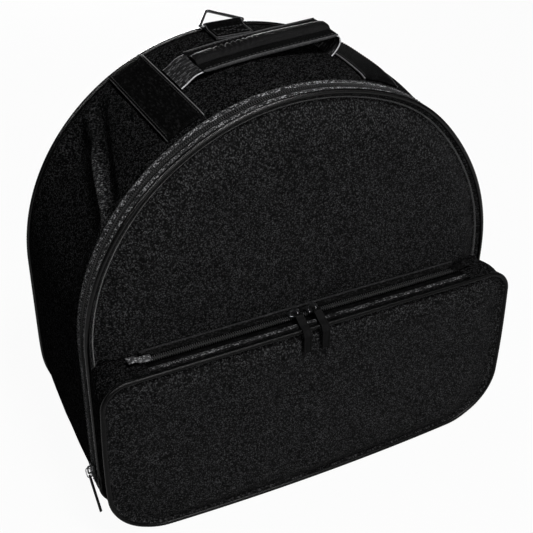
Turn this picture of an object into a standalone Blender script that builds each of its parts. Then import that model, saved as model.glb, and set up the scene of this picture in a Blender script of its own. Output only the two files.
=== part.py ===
"""Backpack for a snare drum: a D-shaped padded bag with a zipped front lid and a zipped pocket on it.

Metres, +Z up. The bag stands on its flat bottom with the front lid towards -Y.
The origin lies on the floor, under the middle of the drum compartment.
"""

import math

import bmesh
import bpy
from mathutils import Matrix, Vector

# Bag outline, seen from the front
BAG_WIDTH = 0.4200
BAG_HEIGHT = 0.3930
BAG_DEPTH = 0.1750  # between the centres of the two piped seams
BOTTOM_CORNER = 0.0300

# Layers of the padded walls, from the outside in
NYLON = 0.0012
FOAM = 0.0070
LINING = 0.0009
GAP = 0.0003

# Piped seams
PIPING_RADIUS = 0.0024
PIPING_PROUD = 0.0015
FLOOR_CLEAR = 0.0002

# Crown of the two big panels
LID_CROWN = 0.0080
BACK_CROWN = 0.0050
SEAM_GROOVE = 0.0015
CROWN_LOOP_SHARES = (1.0, 0.97, 0.90, 0.80)
CROWN_RISE_SHARES = (0.0, None, 0.62, 1.0)

# Main zip round the front of the bag
ZIP_SETBACK = 0.0120  # from the front seam to the middle of the teeth
ZIP_COIL_WIDTH = 0.0035  # one half of the closed chain
ZIP_COIL_HEIGHT = 0.0021
ZIP_COIL_PROUD = 0.0009
ZIP_TAPE_WIDTH = 0.0140
TAPE_THICKNESS = 0.0010

# Webbing bands sewn over the bag from seam to seam
BAND_WIDTH = 0.0380
BAND_THICKNESS = 0.0015
BAND_ANGLE = 62.5  # degrees above the horizontal, on both sides

# Pocket on the lid
POCKET_WIDTH = 0.4248
POCKET_TOP = 0.1840
POCKET_FLOOR = 0.0010
POCKET_DEPTH = 0.0442  # from the lid seam to the pocket's own piped seam
POCKET_TOP_CORNER = 0.0250
POCKET_BOTTOM_CORNER = 0.0550
POCKET_TAPER = 0.0036  # how much the pocket wall leans in towards the lid
POCKET_PIPING = 0.0022
POCKET_CROWN = 0.0045
POCKET_FABRIC = 0.0014
POCKET_SEAT = 0.0008
POCKET_LOOP_SHARES = (1.0, 0.97, 0.88, 0.66)
POCKET_RISE_SHARES = (0.0, 0.10, 0.55, 1.0)

# Zip in the pocket's top
POCKET_ZIP_MARGIN = 0.0224  # from the end of the zip to the start of the rounded corner
POCKET_ZIP_SETBACK = 0.0212  # from the pocket's front seam back to the teeth
POCKET_COIL_WIDTH = 0.0030
POCKET_COIL_PROUD = 0.0008
ZIP_END_LENGTH = 0.0150
ZIP_END_WIDTH = 0.0090
ZIP_END_THICKNESS = 0.0010

# Zip sliders and their pulls
SLIDER_LENGTH = 0.0120
SLIDER_WIDTH = 0.0095
SLIDER_NOSE = 0.0066
SLIDER_THICKNESS = 0.0024
SLIDER_EDGE = 0.0004
SLIDER_SHOULDER_SHARE = 0.33
BRIDGE_BAR = 0.0012
BRIDGE_WIDTH = 0.0016
LINK_WIRE = 0.0006
LINK_RADIUS = 0.0023
LINK_LENGTH = 0.0050
PULL_WIDTH = 0.0080
PULL_NECK = 0.0056
PULL_THICKNESS = 0.0012
PULL_EYE = 0.0012
PULL_HEAD = 0.0028
PULL_LENGTH = 0.0360
PULL_DROP = 0.0250  # the part of a pocket pull that hangs over the front
PULL_OVER = 0.0016  # clearance of a pocket pull where it turns over the edge
PULL_DIP_SHARE = 0.45  # how much of the way down to the edge a pocket pull has dipped half-way there
PULL_TURN_SHARE = 0.55  # how far out a pocket pull has come where it starts to turn down
PULL_RIM = 0.0012
PULL_RECESS = 0.0003
MAIN_SLIDER_Z = 0.0440
POCKET_SLIDER_SPACING = 0.0190
POCKET_SLIDER_MIDDLE = -0.0080
MAIN_PULL_LEAN = 51.0  # degrees forward of straight down

# Carrying handle on top
HANDLE_WIDTH = 0.0440
HANDLE_WEBBING = 0.0020
HANDLE_SETBACK = 0.1040  # from the front seam back to the middle of the handle
HANDLE_ROOT_X = 0.0770
HANDLE_BEND = 0.0038
GRIP_LEFT = -0.0560
GRIP_RIGHT = 0.0760
GRIP_THICKNESS = 0.0110
GRIP_WIDTH = 0.0480
GRIP_EDGE = 0.0040
GRIP_CLEAR = 0.0052  # finger gap over the highest point of the bag
GRIP_ARCH = 0.0030
GRIP_TILT = 0.0085  # rise from the left end of the grip to the right end
GRIP_END_SHARE = 0.74  # thickness of the grip at its ends
LEFT_LEG_SHARES = ((0.0, 0.0), (0.22, 0.24), (0.62, 0.80))  # of the run and the rise from root to grip
RIGHT_LEG_SHARES = ((0.74, 0.90), (1.0, 0.72), (1.0, 0.42), (0.6, 0.16), (0.0, 0.0))  # of the bend and the rise

# Triangular hanging ring and its tab
RING_WIRE = 0.00175
RING_BASE = 0.0480
RING_REACH = 0.0385
RING_CORNER = 0.0024
RING_X = 0.0020
RING_SETBACK = 0.0060  # from the back seam forward to the bar in the tab
TAB_WIDTH = 0.0380
TAB_THICKNESS = 0.0014
TAB_LENGTH = 0.0275  # from its sewn end to the bar
TAB_PINCH = 0.0075

# Shoulder straps on the back
STRAP_WIDTH = 0.0600
STRAP_FOOT_WIDTH = 0.0360
STRAP_THICKNESS = 0.0110
STRAP_TOP_X = 0.0480
STRAP_FOOT_X = 0.1200
STRAP_TOP_DROP = 0.0890  # from the top of the bag to the upper end of the pads
STRAP_FOOT_Z = 0.1330
STRAP_BOW = 0.0190
STRAP_CLEAR = 0.0005
STRAP_TOP_THICKNESS = 0.0030
STRAP_TOP_SHARE = 0.14  # part of the pad's length over which it thickens from its sewn end
STRAP_TAPER_SHARE = 0.80  # where the pad starts to narrow towards its lower end
STRAP_SECTION_SHARES = (
    (-1.0, -0.2), (-0.9, -1.0), (0.0, -1.0), (0.9, -1.0), (1.0, -0.2),
    (0.88, 0.7), (0.5, 1.0), (-0.5, 1.0), (-0.88, 0.7),
)
YOKE_WIDTH = 0.1700
YOKE_HEIGHT = 0.0300
YOKE_THICKNESS = 0.0016
PATCH_CLEAR = 0.0006
TAPE_WIDTH = 0.0250
STRAP_TAPE_THICKNESS = 0.0012
LOCK_WIDTH = 0.0340
LOCK_THICKNESS = 0.0035
LOCK_CORNER = 0.0030
LOCK_EDGE = 0.0004
LOCK_BAR = 0.0032
LOCK_SLOT = 0.0054
LOCK_SLOT_WIDTH = 0.0264
LOOP_RADIUS = 0.0032
TURN_RADIUS = 0.0037
TAIL_END_Z = 0.0640
WEBBING_SAG_SHARES = ((0.0, 0.0), (0.15, 0.30), (0.80, 0.75))  # of the way out and up to the buckle
ANCHOR_WIDTH = 0.0420
ANCHOR_NECK = 0.0290
ANCHOR_FOOT_Z = 0.0100
ANCHOR_TOP_Z = 0.0440

# Facets
ARCH_STEPS = 26
SIDE_STEPS = 3
CORNER_STEPS = 4
BOTTOM_STEPS = 6
WIRE_SIDES = 6
BEND_STEPS = 4
GRIP_STEPS = 8
STRAP_STEPS = 14

ARCH_CENTRE_Z = BAG_HEIGHT - BAG_WIDTH / 2
FRONT_Y = -BAG_DEPTH / 2
BACK_Y = BAG_DEPTH / 2
ZIP_Y = FRONT_Y + ZIP_SETBACK
PANEL_INSET = 2 * PIPING_RADIUS + GAP
PANEL_CENTRE_Z = BAG_HEIGHT / 2
POCKET_ZIP_LENGTH = POCKET_WIDTH - 2 * (POCKET_TOP_CORNER + POCKET_ZIP_MARGIN)
STRAP_TOP_Z = BAG_HEIGHT - STRAP_TOP_DROP
HANDLE_Y = FRONT_Y + HANDLE_SETBACK
RING_Y = BACK_Y - RING_SETBACK
TAB_FRONT_Y = RING_Y - TAB_LENGTH
LEFT, RIGHT = -1, 1


# Materials, one for each finish


def finish(name, colour, roughness, metallic=0.0):
    material = bpy.data.materials.new(name)
    material.use_nodes = True
    shader = material.node_tree.nodes["Principled BSDF"]
    shader.inputs["Base Color"].default_value = (*colour, 1.0)
    shader.inputs["Roughness"].default_value = roughness
    shader.inputs["Metallic"].default_value = metallic
    return material


def make_finishes():
    return {
        "front_nylon": finish("front_nylon", (0.020, 0.020, 0.021), 0.75),
        "side_nylon": finish("side_nylon", (0.012, 0.012, 0.013), 0.70),
        "foam": finish("foam", (0.10, 0.10, 0.11), 0.95),
        "plush": finish("plush", (0.045, 0.045, 0.050), 0.98),
        "piping": finish("piping", (0.030, 0.030, 0.032), 0.45),
        "webbing": finish("webbing", (0.016, 0.016, 0.017), 0.60),
        "zip_tape": finish("zip_tape", (0.035, 0.035, 0.037), 0.80),
        "zip_coil": finish("zip_coil", (0.040, 0.040, 0.042), 0.35),
        "dark_metal": finish("dark_metal", (0.22, 0.22, 0.23), 0.35, 1.0),
        "pull_rubber": finish("pull_rubber", (0.060, 0.060, 0.063), 0.50),
        "ring_steel": finish("ring_steel", (0.42, 0.42, 0.43), 0.28, 1.0),
        "grip": finish("grip", (0.018, 0.018, 0.019), 0.55),
        "buckle": finish("buckle", (0.014, 0.014, 0.015), 0.40),
    }


# Shared ways to make a solid


def put(name, mesh, material, sharp=35.0):
    mesh.materials.append(material)
    mesh.shade_smooth()
    mesh.set_sharp_from_angle(angle=math.radians(sharp))
    made = bpy.data.objects.new(name, mesh)
    bpy.context.scene.collection.objects.link(made)
    return made


def loops_to_mesh(name, loops, wrap, caps):
    """Skin over loops of the same count. wrap joins the last loop to the first, caps closes the two ends."""
    shape = bmesh.new()
    rows = [[shape.verts.new(point) for point in loop] for loop in loops]
    count = len(rows[0])
    last = len(rows) if wrap else len(rows) - 1
    for i in range(last):
        here, there = rows[i], rows[(i + 1) % len(rows)]
        for k in range(count):
            n = (k + 1) % count
            shape.faces.new((here[k], here[n], there[n], there[k]))
    if caps:
        shape.faces.new(list(reversed(rows[0])))
        shape.faces.new(rows[-1])
    bmesh.ops.recalc_face_normals(shape, faces=shape.faces)
    mesh = bpy.data.meshes.new(name)
    shape.to_mesh(mesh)
    shape.free()
    return mesh


def arc(centre, radius, start, end, steps):
    """Points on an arc, start to end in degrees, both ends included."""
    turn = [math.radians(start + (end - start) * i / steps) for i in range(steps + 1)]
    return [(centre[0] + radius * math.cos(t), centre[1] + radius * math.sin(t)) for t in turn]


def between(low, high, steps):
    """Points inside a straight run, its ends left out."""
    return [
        tuple(low[k] + (high[k] - low[k]) * i / steps for k in range(2))
        for i in range(1, steps)
    ]


def bag_outline(inset, lift=0.0):
    """The D outline as (x, z), from the bottom right corner, over the arch and back along the floor."""
    half = BAG_WIDTH / 2 - inset
    floor = inset - PIPING_PROUD + lift
    corner = BOTTOM_CORNER - inset
    side = floor + corner
    points = arc((half - corner, side), corner, -90, 0, CORNER_STEPS)
    points += between((half, side), (half, ARCH_CENTRE_Z), SIDE_STEPS)
    points += arc((0, ARCH_CENTRE_Z), half, 0, 180, ARCH_STEPS)
    points += between((-half, ARCH_CENTRE_Z), (-half, side), SIDE_STEPS)
    points += arc((corner - half, side), corner, 180, 270, CORNER_STEPS)
    points += between((corner - half, floor), (half - corner, floor), BOTTOM_STEPS)
    return points


def pocket_outline(inset, lift=0.0):
    """The pocket's rounded oblong as (x, z), from the right end of its zip round to the left end, then the top."""
    half = POCKET_WIDTH / 2 - inset
    low = POCKET_FLOOR + inset + lift
    high = POCKET_TOP - inset
    top = POCKET_TOP_CORNER - inset
    foot = POCKET_BOTTOM_CORNER - inset
    zip_end = POCKET_ZIP_LENGTH / 2 + GAP
    points = [(zip_end, high)]
    points += arc((half - top, high - top), top, 90, 0, CORNER_STEPS)
    points += between((half, high - top), (half, low + foot), SIDE_STEPS)
    points += arc((half - foot, low + foot), foot, 0, -90, CORNER_STEPS + 2)
    points += between((half - foot, low), (foot - half, low), BOTTOM_STEPS)
    points += arc((foot - half, low + foot), foot, 270, 180, CORNER_STEPS + 2)
    points += between((-half, low + foot), (-half, high - top), SIDE_STEPS)
    points += arc((top - half, high - top), top, 180, 90, CORNER_STEPS)
    points += [(-zip_end, high)]
    points += between((-zip_end, high), (zip_end, high), BOTTOM_STEPS)
    return points


def eased(loop, towards, distance):
    """The loop moved by a distance towards the matching points of the next loop."""
    step = Vector(towards[0]) - Vector(loop[0])
    shift = step.normalized() * distance
    return [tuple(Vector(point) + shift) for point in loop]


def rim(name, material, outline, section, span=None, lift=0.0, drape=None, trim=0.0):
    """A section of (inset, y) points carried along an outline: the whole way round, or over one span of it.
    drape(x, z, y) may move a point in y, where the section has to follow another face.
    trim shortens a span at both ends."""
    tracks = [(outline(inset, lift), y) for inset, y in section]
    count = len(tracks[0][0])
    indices = range(count) if span is None else range(span[0], span[1] + 1)
    loops = []
    for i in indices:
        loop = []
        for points, y in tracks:
            x, z = points[i % count]
            loop.append((x, drape(x, z, y) if drape else y, z))
        loops.append(loop)
    if trim:
        loops[0] = eased(loops[0], loops[1], trim)
        loops[-1] = eased(loops[-1], loops[-2], trim)
    return put(name, loops_to_mesh(name, loops, span is None, span is not None), material)


def oblong(inset, thickness, start, end):
    """Section of a flat strip: from inset inwards by its thickness, from y start to y end."""
    return [(inset, start), (inset, end), (inset + thickness, end), (inset + thickness, start)]


def even_turns(count):
    return [2 * math.pi * i / count for i in range(count)]


def round_section(inset, radius, y):
    return [(inset - radius * math.cos(t), y + radius * math.sin(t)) for t in even_turns(WIRE_SIDES)]


def gauge(outline, centre, x, z):
    """How far out the point (x, z) lies, as a share of the convex outline about its centre."""
    most = 0.0
    for (ax, az), (bx, bz) in zip(outline, outline[1:] + outline[:1]):
        nx, nz = bz - az, ax - bx
        reach = nx * (ax - centre[0]) + nz * (az - centre[1])
        if abs(reach) > 0:
            most = max(most, (nx * (x - centre[0]) + nz * (z - centre[1])) / reach)
    return most


def rise_at(share, loop_shares, rises):
    """Height of a crowned face at a share of its outline, straight between its loops."""
    for i in range(len(loop_shares) - 1):
        outer, inner = loop_shares[i], loop_shares[i + 1]
        if share >= inner:
            part = (outer - min(share, outer)) / (outer - inner)
            return rises[i] + (rises[i + 1] - rises[i]) * part
    return rises[-1]


def crowned_panel(name, material, outline, centre, loop_shares, rises, y, out, thickness):
    """A sheet whose loops shrink about the centre and rise by rises towards out, the side it faces."""
    loops = []
    for back in (False, True):
        order = range(len(loop_shares))
        for i in order if back else reversed(order):
            share = loop_shares[i]
            level = y + out * rises[i] - (out * thickness if back else 0.0)
            loops.append(
                [
                    (centre[0] + (x - centre[0]) * share, level, centre[1] + (z - centre[1]) * share)
                    for x, z in outline
                ]
            )
    return put(name, loops_to_mesh(name, loops, False, True), material)


def tangents(path):
    """Unit direction of a path at each of its points."""
    ends = len(path) - 1
    return [(path[min(i + 1, ends)] - path[max(i - 1, 0)]).normalized() for i in range(ends + 1)]


def strip(name, material, path, across, width, thickness):
    """A flat strip of webbing along a path of vectors, its width along the unit vector across."""
    loops = []
    for point, along in zip(path, tangents(path)):
        normal = across.cross(along).normalized() * thickness / 2
        side = across * width / 2
        loops.append([point - side - normal, point + side - normal, point + side + normal, point - side + normal])
    return put(name, loops_to_mesh(name, loops, False, True), material)


def wire_ring(name, material, path, across, radius):
    """A round wire along a closed flat path of vectors. across is the unit vector square to the path's plane."""
    loops = []
    for i, point in enumerate(path):
        out = across.cross((path[(i + 1) % len(path)] - path[i - 1]).normalized())
        loops.append([point + radius * (math.cos(t) * out + math.sin(t) * across) for t in even_turns(WIRE_SIDES)])
    return put(name, loops_to_mesh(name, loops, True, False), material)


def flat_curve(name, outlines, thickness, edge):
    """A curve filled between closed outlines: the first is its edge and the others are its holes, all eased."""
    curve = bpy.data.curves.new(name, "CURVE")
    curve.dimensions = "2D"
    curve.fill_mode = "BOTH"
    curve.extrude = thickness / 2 - edge
    curve.bevel_depth = edge
    curve.bevel_resolution = 0
    curve.offset = -edge
    for outline in outlines:
        spline = curve.splines.new("POLY")
        spline.points.add(len(outline) - 1)
        for point, (u, v) in zip(spline.points, outline):
            point.co = (u, v, 0, 1)
        spline.use_cyclic_u = True
    return curve


def plate(name, material, outlines, thickness, edge, place):
    """The plate of flat_curve, turned into a mesh and moved by the matrix place."""
    curve = flat_curve(name, outlines, thickness, edge)
    helper = bpy.data.objects.new(name + "_outline", curve)
    bpy.context.scene.collection.objects.link(helper)
    graph = bpy.context.evaluated_depsgraph_get()
    mesh = bpy.data.meshes.new_from_object(helper.evaluated_get(graph))
    mesh.name = name
    bpy.data.objects.remove(helper)
    bpy.data.curves.remove(curve)
    shape = bmesh.new()
    shape.from_mesh(mesh)
    bmesh.ops.remove_doubles(shape, verts=shape.verts, dist=GAP / 100)
    bmesh.ops.recalc_face_normals(shape, faces=shape.faces)
    shape.to_mesh(mesh)
    shape.free()
    mesh.materials.clear()
    made = put(name, mesh, material)
    made.matrix_world = place
    return made


def rounded_oblong(width, height, corner, steps=3):
    """A closed outline of (u, v) points about the middle."""
    u, v = width / 2 - corner, height / 2 - corner
    points = arc((u, v), corner, 0, 90, steps)
    points += arc((-u, v), corner, 90, 180, steps)
    points += arc((-u, -v), corner, 180, 270, steps)
    points += arc((u, -v), corner, 270, 360, steps)
    return points


# Shape of the crowned faces, which other pieces sit on


def crown_rises(crown):
    return [-SEAM_GROOVE if share is None else share * crown for share in CROWN_RISE_SHARES]


SEAM_LIFT = PIPING_PROUD + FLOOR_CLEAR  # the piped seams lie that much higher at the floor than their inset says
PANEL_OUTLINE = bag_outline(PANEL_INSET, SEAM_LIFT)
PANEL_CENTRE = (0.0, PANEL_CENTRE_Z)


def lid_face(x, z):
    share = gauge(PANEL_OUTLINE, PANEL_CENTRE, x, z)
    return FRONT_Y - NYLON / 2 - rise_at(share, CROWN_LOOP_SHARES, crown_rises(LID_CROWN))


def back_face(x, z):
    share = gauge(PANEL_OUTLINE, PANEL_CENTRE, x, z)
    return BACK_Y + NYLON / 2 + rise_at(share, CROWN_LOOP_SHARES, crown_rises(BACK_CROWN))


def panel_layers(names, finishes, y, out, crown):
    """Cover, foam and lining of one big panel, stacked inwards from its outside face."""
    rises = crown_rises(crown)
    level = y + out * NYLON / 2
    for name, finish_name, thickness in zip(
        names, ("front_nylon", "foam", "plush"), (NYLON, FOAM, LINING)
    ):
        crowned_panel(
            name, finishes[finish_name], PANEL_OUTLINE, PANEL_CENTRE,
            CROWN_LOOP_SHARES, rises, level, out, thickness,
        )
        level -= out * (thickness + GAP)


# Bag body


SEAM_CLEAR = PIPING_RADIUS + GAP  # from the middle of a piped seam to the cloth beside it
ZIP_FIRST = CORNER_STEPS // 2
ZIP_LAST = CORNER_STEPS + 2 * SIDE_STEPS + ARCH_STEPS + CORNER_STEPS // 2
STACK = NYLON + FOAM + LINING + 2 * GAP
FOAM_INSET = PIPING_PROUD + NYLON + GAP
LINING_INSET = FOAM_INSET + FOAM + GAP
BACK_INNER_Y = BACK_Y + NYLON / 2 - STACK - SEAM_GROOVE
TAPE_BACK_Y = ZIP_Y + ZIP_COIL_WIDTH + ZIP_TAPE_WIDTH
BODY_FRONT_Y = ZIP_Y + GAP / 2


def body_layers(finishes):
    cover = oblong(PIPING_PROUD, NYLON, TAPE_BACK_Y + GAP, BACK_Y - SEAM_CLEAR)
    foam = oblong(FOAM_INSET, FOAM, BODY_FRONT_Y, BACK_INNER_Y - GAP)
    lining = oblong(LINING_INSET, LINING, BODY_FRONT_Y, BACK_INNER_Y - GAP)
    rim("body_gusset_cover", finishes["side_nylon"], bag_outline, cover)
    rim("body_gusset_foam", finishes["foam"], bag_outline, foam)
    rim("body_gusset_lining", finishes["plush"], bag_outline, lining)


def seam_piping(name, finishes, y):
    section = round_section(PIPING_RADIUS, PIPING_RADIUS, y)
    rim(name, finishes["piping"], bag_outline, section, lift=SEAM_LIFT)


def coil_section(y, towards, width):
    """Half of the closed coil: a low rounded strip from the middle of the chain outwards."""
    top = PIPING_PROUD - ZIP_COIL_PROUD
    foot = top + ZIP_COIL_HEIGHT
    near, far = y + towards * GAP / 2, y + towards * (width - GAP)
    ease = ZIP_COIL_HEIGHT / 3
    return [(foot, near), (top, near), (top, far - towards * ease), (top + ease, far), (foot, far)]


def main_zip(finishes):
    """Two halves of the coil round the front edge, and the tape that holds the rear half."""
    span = (ZIP_FIRST, ZIP_LAST)
    for name, towards in (("lid_zip_coil", LEFT), ("body_zip_coil", RIGHT)):
        section = coil_section(ZIP_Y, towards, ZIP_COIL_WIDTH)
        rim(name, finishes["zip_coil"], bag_outline, section, span)
    tape = oblong(PIPING_PROUD, TAPE_THICKNESS, ZIP_Y + ZIP_COIL_WIDTH, TAPE_BACK_Y)
    rim("body_zip_tape", finishes["zip_tape"], bag_outline, tape, span)


def fold_strips(finishes):
    """The cloth under the bag between the two ends of the zip. The lid folds on the line between its two parts."""
    span = (ZIP_LAST, len(PANEL_OUTLINE) + ZIP_FIRST)
    behind = oblong(PIPING_PROUD, TAPE_THICKNESS, BODY_FRONT_Y, TAPE_BACK_Y)
    ahead = oblong(PIPING_PROUD, TAPE_THICKNESS, ZIP_Y - ZIP_COIL_WIDTH + GAP, ZIP_Y - GAP / 2)
    rim("hinge_strip", finishes["side_nylon"], bag_outline, behind, span, trim=GAP)
    rim("lid_fold", finishes["side_nylon"], bag_outline, ahead, span, trim=GAP)


def lid_rim(finishes):
    """The narrow wall of the lid, from its piped seam to the zip, the whole way round."""
    section = oblong(PIPING_PROUD, TAPE_THICKNESS, FRONT_Y + SEAM_CLEAR, ZIP_Y - ZIP_COIL_WIDTH)
    rim("lid_rim", finishes["zip_tape"], bag_outline, section)


def band(name, finishes, side):
    """Webbing sewn flat over the wall, from the zip tape to the back seam."""
    radius = BAG_WIDTH / 2 - PIPING_PROUD + GAP
    half_turn = math.degrees(BAND_WIDTH / 2 / radius)
    middle = BAND_ANGLE if side == RIGHT else 180 - BAND_ANGLE
    start, end = TAPE_BACK_Y + GAP, BACK_Y - SEAM_CLEAR
    centre = (0.0, ARCH_CENTRE_Z)
    inner = arc(centre, radius, middle - half_turn, middle + half_turn, BEND_STEPS)
    outer = arc(centre, radius + BAND_THICKNESS, middle - half_turn, middle + half_turn, BEND_STEPS)
    loops = [
        [(a[0], start, a[1]), (a[0], end, a[1]), (b[0], end, b[1]), (b[0], start, b[1])]
        for a, b in zip(inner, outer)
    ]
    put(name, loops_to_mesh(name, loops, False, True), finishes["webbing"])


# Pocket


POCKET_FRONT_Y = FRONT_Y - POCKET_DEPTH
POCKET_WALL_FRONT_Y = POCKET_FRONT_Y + POCKET_PIPING + GAP
POCKET_WALL_BACK_Y = FRONT_Y - SEAM_CLEAR
POCKET_ZIP_Y = POCKET_FRONT_Y + POCKET_ZIP_SETBACK
POCKET_PANEL_INSET = 2 * POCKET_PIPING + GAP


def pocket_wall(finishes):
    """The U-shaped wall: both sides, the bottom and the corners, up to the ends of the zip."""
    section = [
        (0.0, POCKET_WALL_FRONT_Y),
        (POCKET_TAPER, POCKET_WALL_BACK_Y),
        (POCKET_TAPER + POCKET_FABRIC, POCKET_WALL_BACK_Y),
        (POCKET_FABRIC, POCKET_WALL_FRONT_Y),
    ]

    def drape(x, z, y):
        return min(y, lid_face(x, z) - POCKET_SEAT) if y == POCKET_WALL_BACK_Y else y

    last = len(pocket_outline(0.0)) - BOTTOM_STEPS
    rim("pocket_wall", finishes["side_nylon"], pocket_outline, section, (0, last), drape=drape)


def pocket_front(finishes):
    outline = pocket_outline(POCKET_PANEL_INSET)
    centre = (0.0, (POCKET_FLOOR + POCKET_TOP) / 2)
    rises = [share * POCKET_CROWN for share in POCKET_RISE_SHARES]
    crowned_panel(
        "pocket_front", finishes["front_nylon"], outline, centre,
        POCKET_LOOP_SHARES, rises, POCKET_FRONT_Y - POCKET_FABRIC / 2, LEFT, POCKET_FABRIC,
    )
    section = round_section(POCKET_PIPING, POCKET_PIPING, POCKET_FRONT_Y)
    rim("pocket_piping", finishes["piping"], pocket_outline, section)


def box(name, material, low, high):
    """A straight strip between two corners."""
    (x0, y0, z0), (x1, y1, z1) = low, high
    loops = [[(x, y0, z0), (x, y1, z0), (x, y1, z1), (x, y0, z1)] for x in (x0, x1)]
    return put(name, loops_to_mesh(name, loops, False, True), material)


def pocket_zip(finishes):
    """Two tapes and two halves of the coil in the pocket's top, with a tab over each end."""
    half = POCKET_ZIP_LENGTH / 2
    top, low = POCKET_TOP, POCKET_TOP - POCKET_FABRIC
    coil_top = POCKET_TOP + POCKET_COIL_PROUD
    front_end = POCKET_ZIP_Y - POCKET_COIL_WIDTH
    back_end = POCKET_ZIP_Y + POCKET_COIL_WIDTH
    back_edge = lid_face(0.0, POCKET_TOP) - POCKET_SEAT
    tape, coil = finishes["zip_tape"], finishes["zip_coil"]
    box("pocket_zip_tape_front", tape, (-half, POCKET_WALL_FRONT_Y, low), (half, front_end, top))
    box("pocket_zip_tape_back", tape, (-half, back_end, low), (half, back_edge, top))
    box("pocket_coil_front", coil, (-half, front_end + GAP, low), (half, POCKET_ZIP_Y - GAP / 2, coil_top))
    box("pocket_coil_back", coil, (-half, POCKET_ZIP_Y + GAP / 2, low), (half, back_end - GAP, coil_top))
    for name, side in (("pocket_zip_end_left", LEFT), ("pocket_zip_end_right", RIGHT)):
        ends = sorted((side * (half + ZIP_END_LENGTH / 2), side * (half - ZIP_END_LENGTH / 2)))
        base = coil_top + GAP
        box(
            name, finishes["webbing"],
            (ends[0], POCKET_ZIP_Y - ZIP_END_WIDTH / 2, base),
            (ends[1], POCKET_ZIP_Y + ZIP_END_WIDTH / 2, base + ZIP_END_THICKNESS),
        )


BAR_LIFT = LINK_RADIUS + LINK_WIRE + GAP  # middle of the bridge over the slider's top, so that a link fits under it


# Zip sliders. Each is modelled with the zip along its X, its width along its Y and its height along its Z


def slider_mesh(name):
    """A tapered slider with a bridge over it, as one closed solid."""
    half, wide, nose = SLIDER_LENGTH / 2, SLIDER_WIDTH / 2, SLIDER_NOSE / 2
    shoulder = half * SLIDER_SHOULDER_SHARE
    outline = [
        (-half, -wide + SLIDER_EDGE), (-half + SLIDER_EDGE, -wide), (shoulder, -wide),
        (half - SLIDER_EDGE, -nose), (half, -nose + SLIDER_EDGE),
        (half, nose - SLIDER_EDGE), (half - SLIDER_EDGE, nose), (shoulder, wide),
        (-half + SLIDER_EDGE, wide), (-half, wide - SLIDER_EDGE),
    ]
    ease = SLIDER_EDGE / wide
    levels = ((0.0, 1 - ease), (SLIDER_EDGE, 1), (SLIDER_THICKNESS - SLIDER_EDGE, 1), (SLIDER_THICKNESS, 1 - ease))
    loops = [[(u * share, v * share, w) for u, v in outline] for w, share in levels]
    return loops_to_mesh(name, loops, False, True)


def bridge_mesh(name):
    """The arched bar over the slider. Its feet are sunk into the slider's top, so that a union joins them."""
    reach = SLIDER_LENGTH / 2 - BRIDGE_BAR
    foot = SLIDER_THICKNESS - SLIDER_EDGE
    high = SLIDER_THICKNESS + BAR_LIFT + BRIDGE_BAR / 2
    low = high - BRIDGE_BAR
    inner = reach - BRIDGE_BAR
    ease = BRIDGE_BAR / 2
    outline = [
        (-reach, foot), (-reach, low), (-inner, high), (inner, high), (reach, low), (reach, foot),
        (inner, foot), (inner, low - ease), (inner - ease, low),
        (ease - inner, low), (-inner, low - ease), (-inner, foot),
    ]
    loops = [[(u, v, w) for u, w in outline] for v in (-BRIDGE_WIDTH / 2, BRIDGE_WIDTH / 2)]
    return loops_to_mesh(name, loops, False, True)


def helper(name, mesh, place):
    """A shape that only serves a Boolean modifier."""
    made = bpy.data.objects.new(name, mesh)
    made.hide_render = True
    made.display_type = "WIRE"
    bpy.context.scene.collection.objects.link(made)
    made.matrix_world = place
    return made


def boolean(target, other, operation):
    modifier = target.modifiers.new(operation.lower(), "BOOLEAN")
    modifier.operation = operation
    modifier.object = other
    modifier.solver = "EXACT"


def frame_at(origin, u, v, w):
    """Matrix that puts a shape's own X, Y and Z along u, v and w, with its own origin at origin."""
    rows = [(u[k], v[k], w[k], origin[k]) for k in range(3)]
    return Matrix(rows + [(0, 0, 0, 1)])


def slider(name, finishes, place):
    made = put(name, slider_mesh(name), finishes["dark_metal"])
    made.matrix_world = place
    boolean(made, helper(name + "_bridge", bridge_mesh(name + "_bridge"), place), "UNION")


# A pull is modelled with the bridge along its X, its own length along its Y and its flat side towards its Z


EYE = LINK_LENGTH + LINK_RADIUS  # from the bridge to the hole in the pull


def pull_link(name, finishes, place):
    """An oval wire ring round the bridge and through the pull's hole."""
    ring = arc((0, 0), LINK_RADIUS, 90, 270, BEND_STEPS) + arc((LINK_LENGTH, 0), LINK_RADIUS, -90, 90, BEND_STEPS)
    path = [Vector((0, along, up)) for along, up in ring]
    made = wire_ring(name, finishes["dark_metal"], path, Vector((1, 0, 0)), LINK_WIRE)
    made.matrix_world = place


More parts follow.
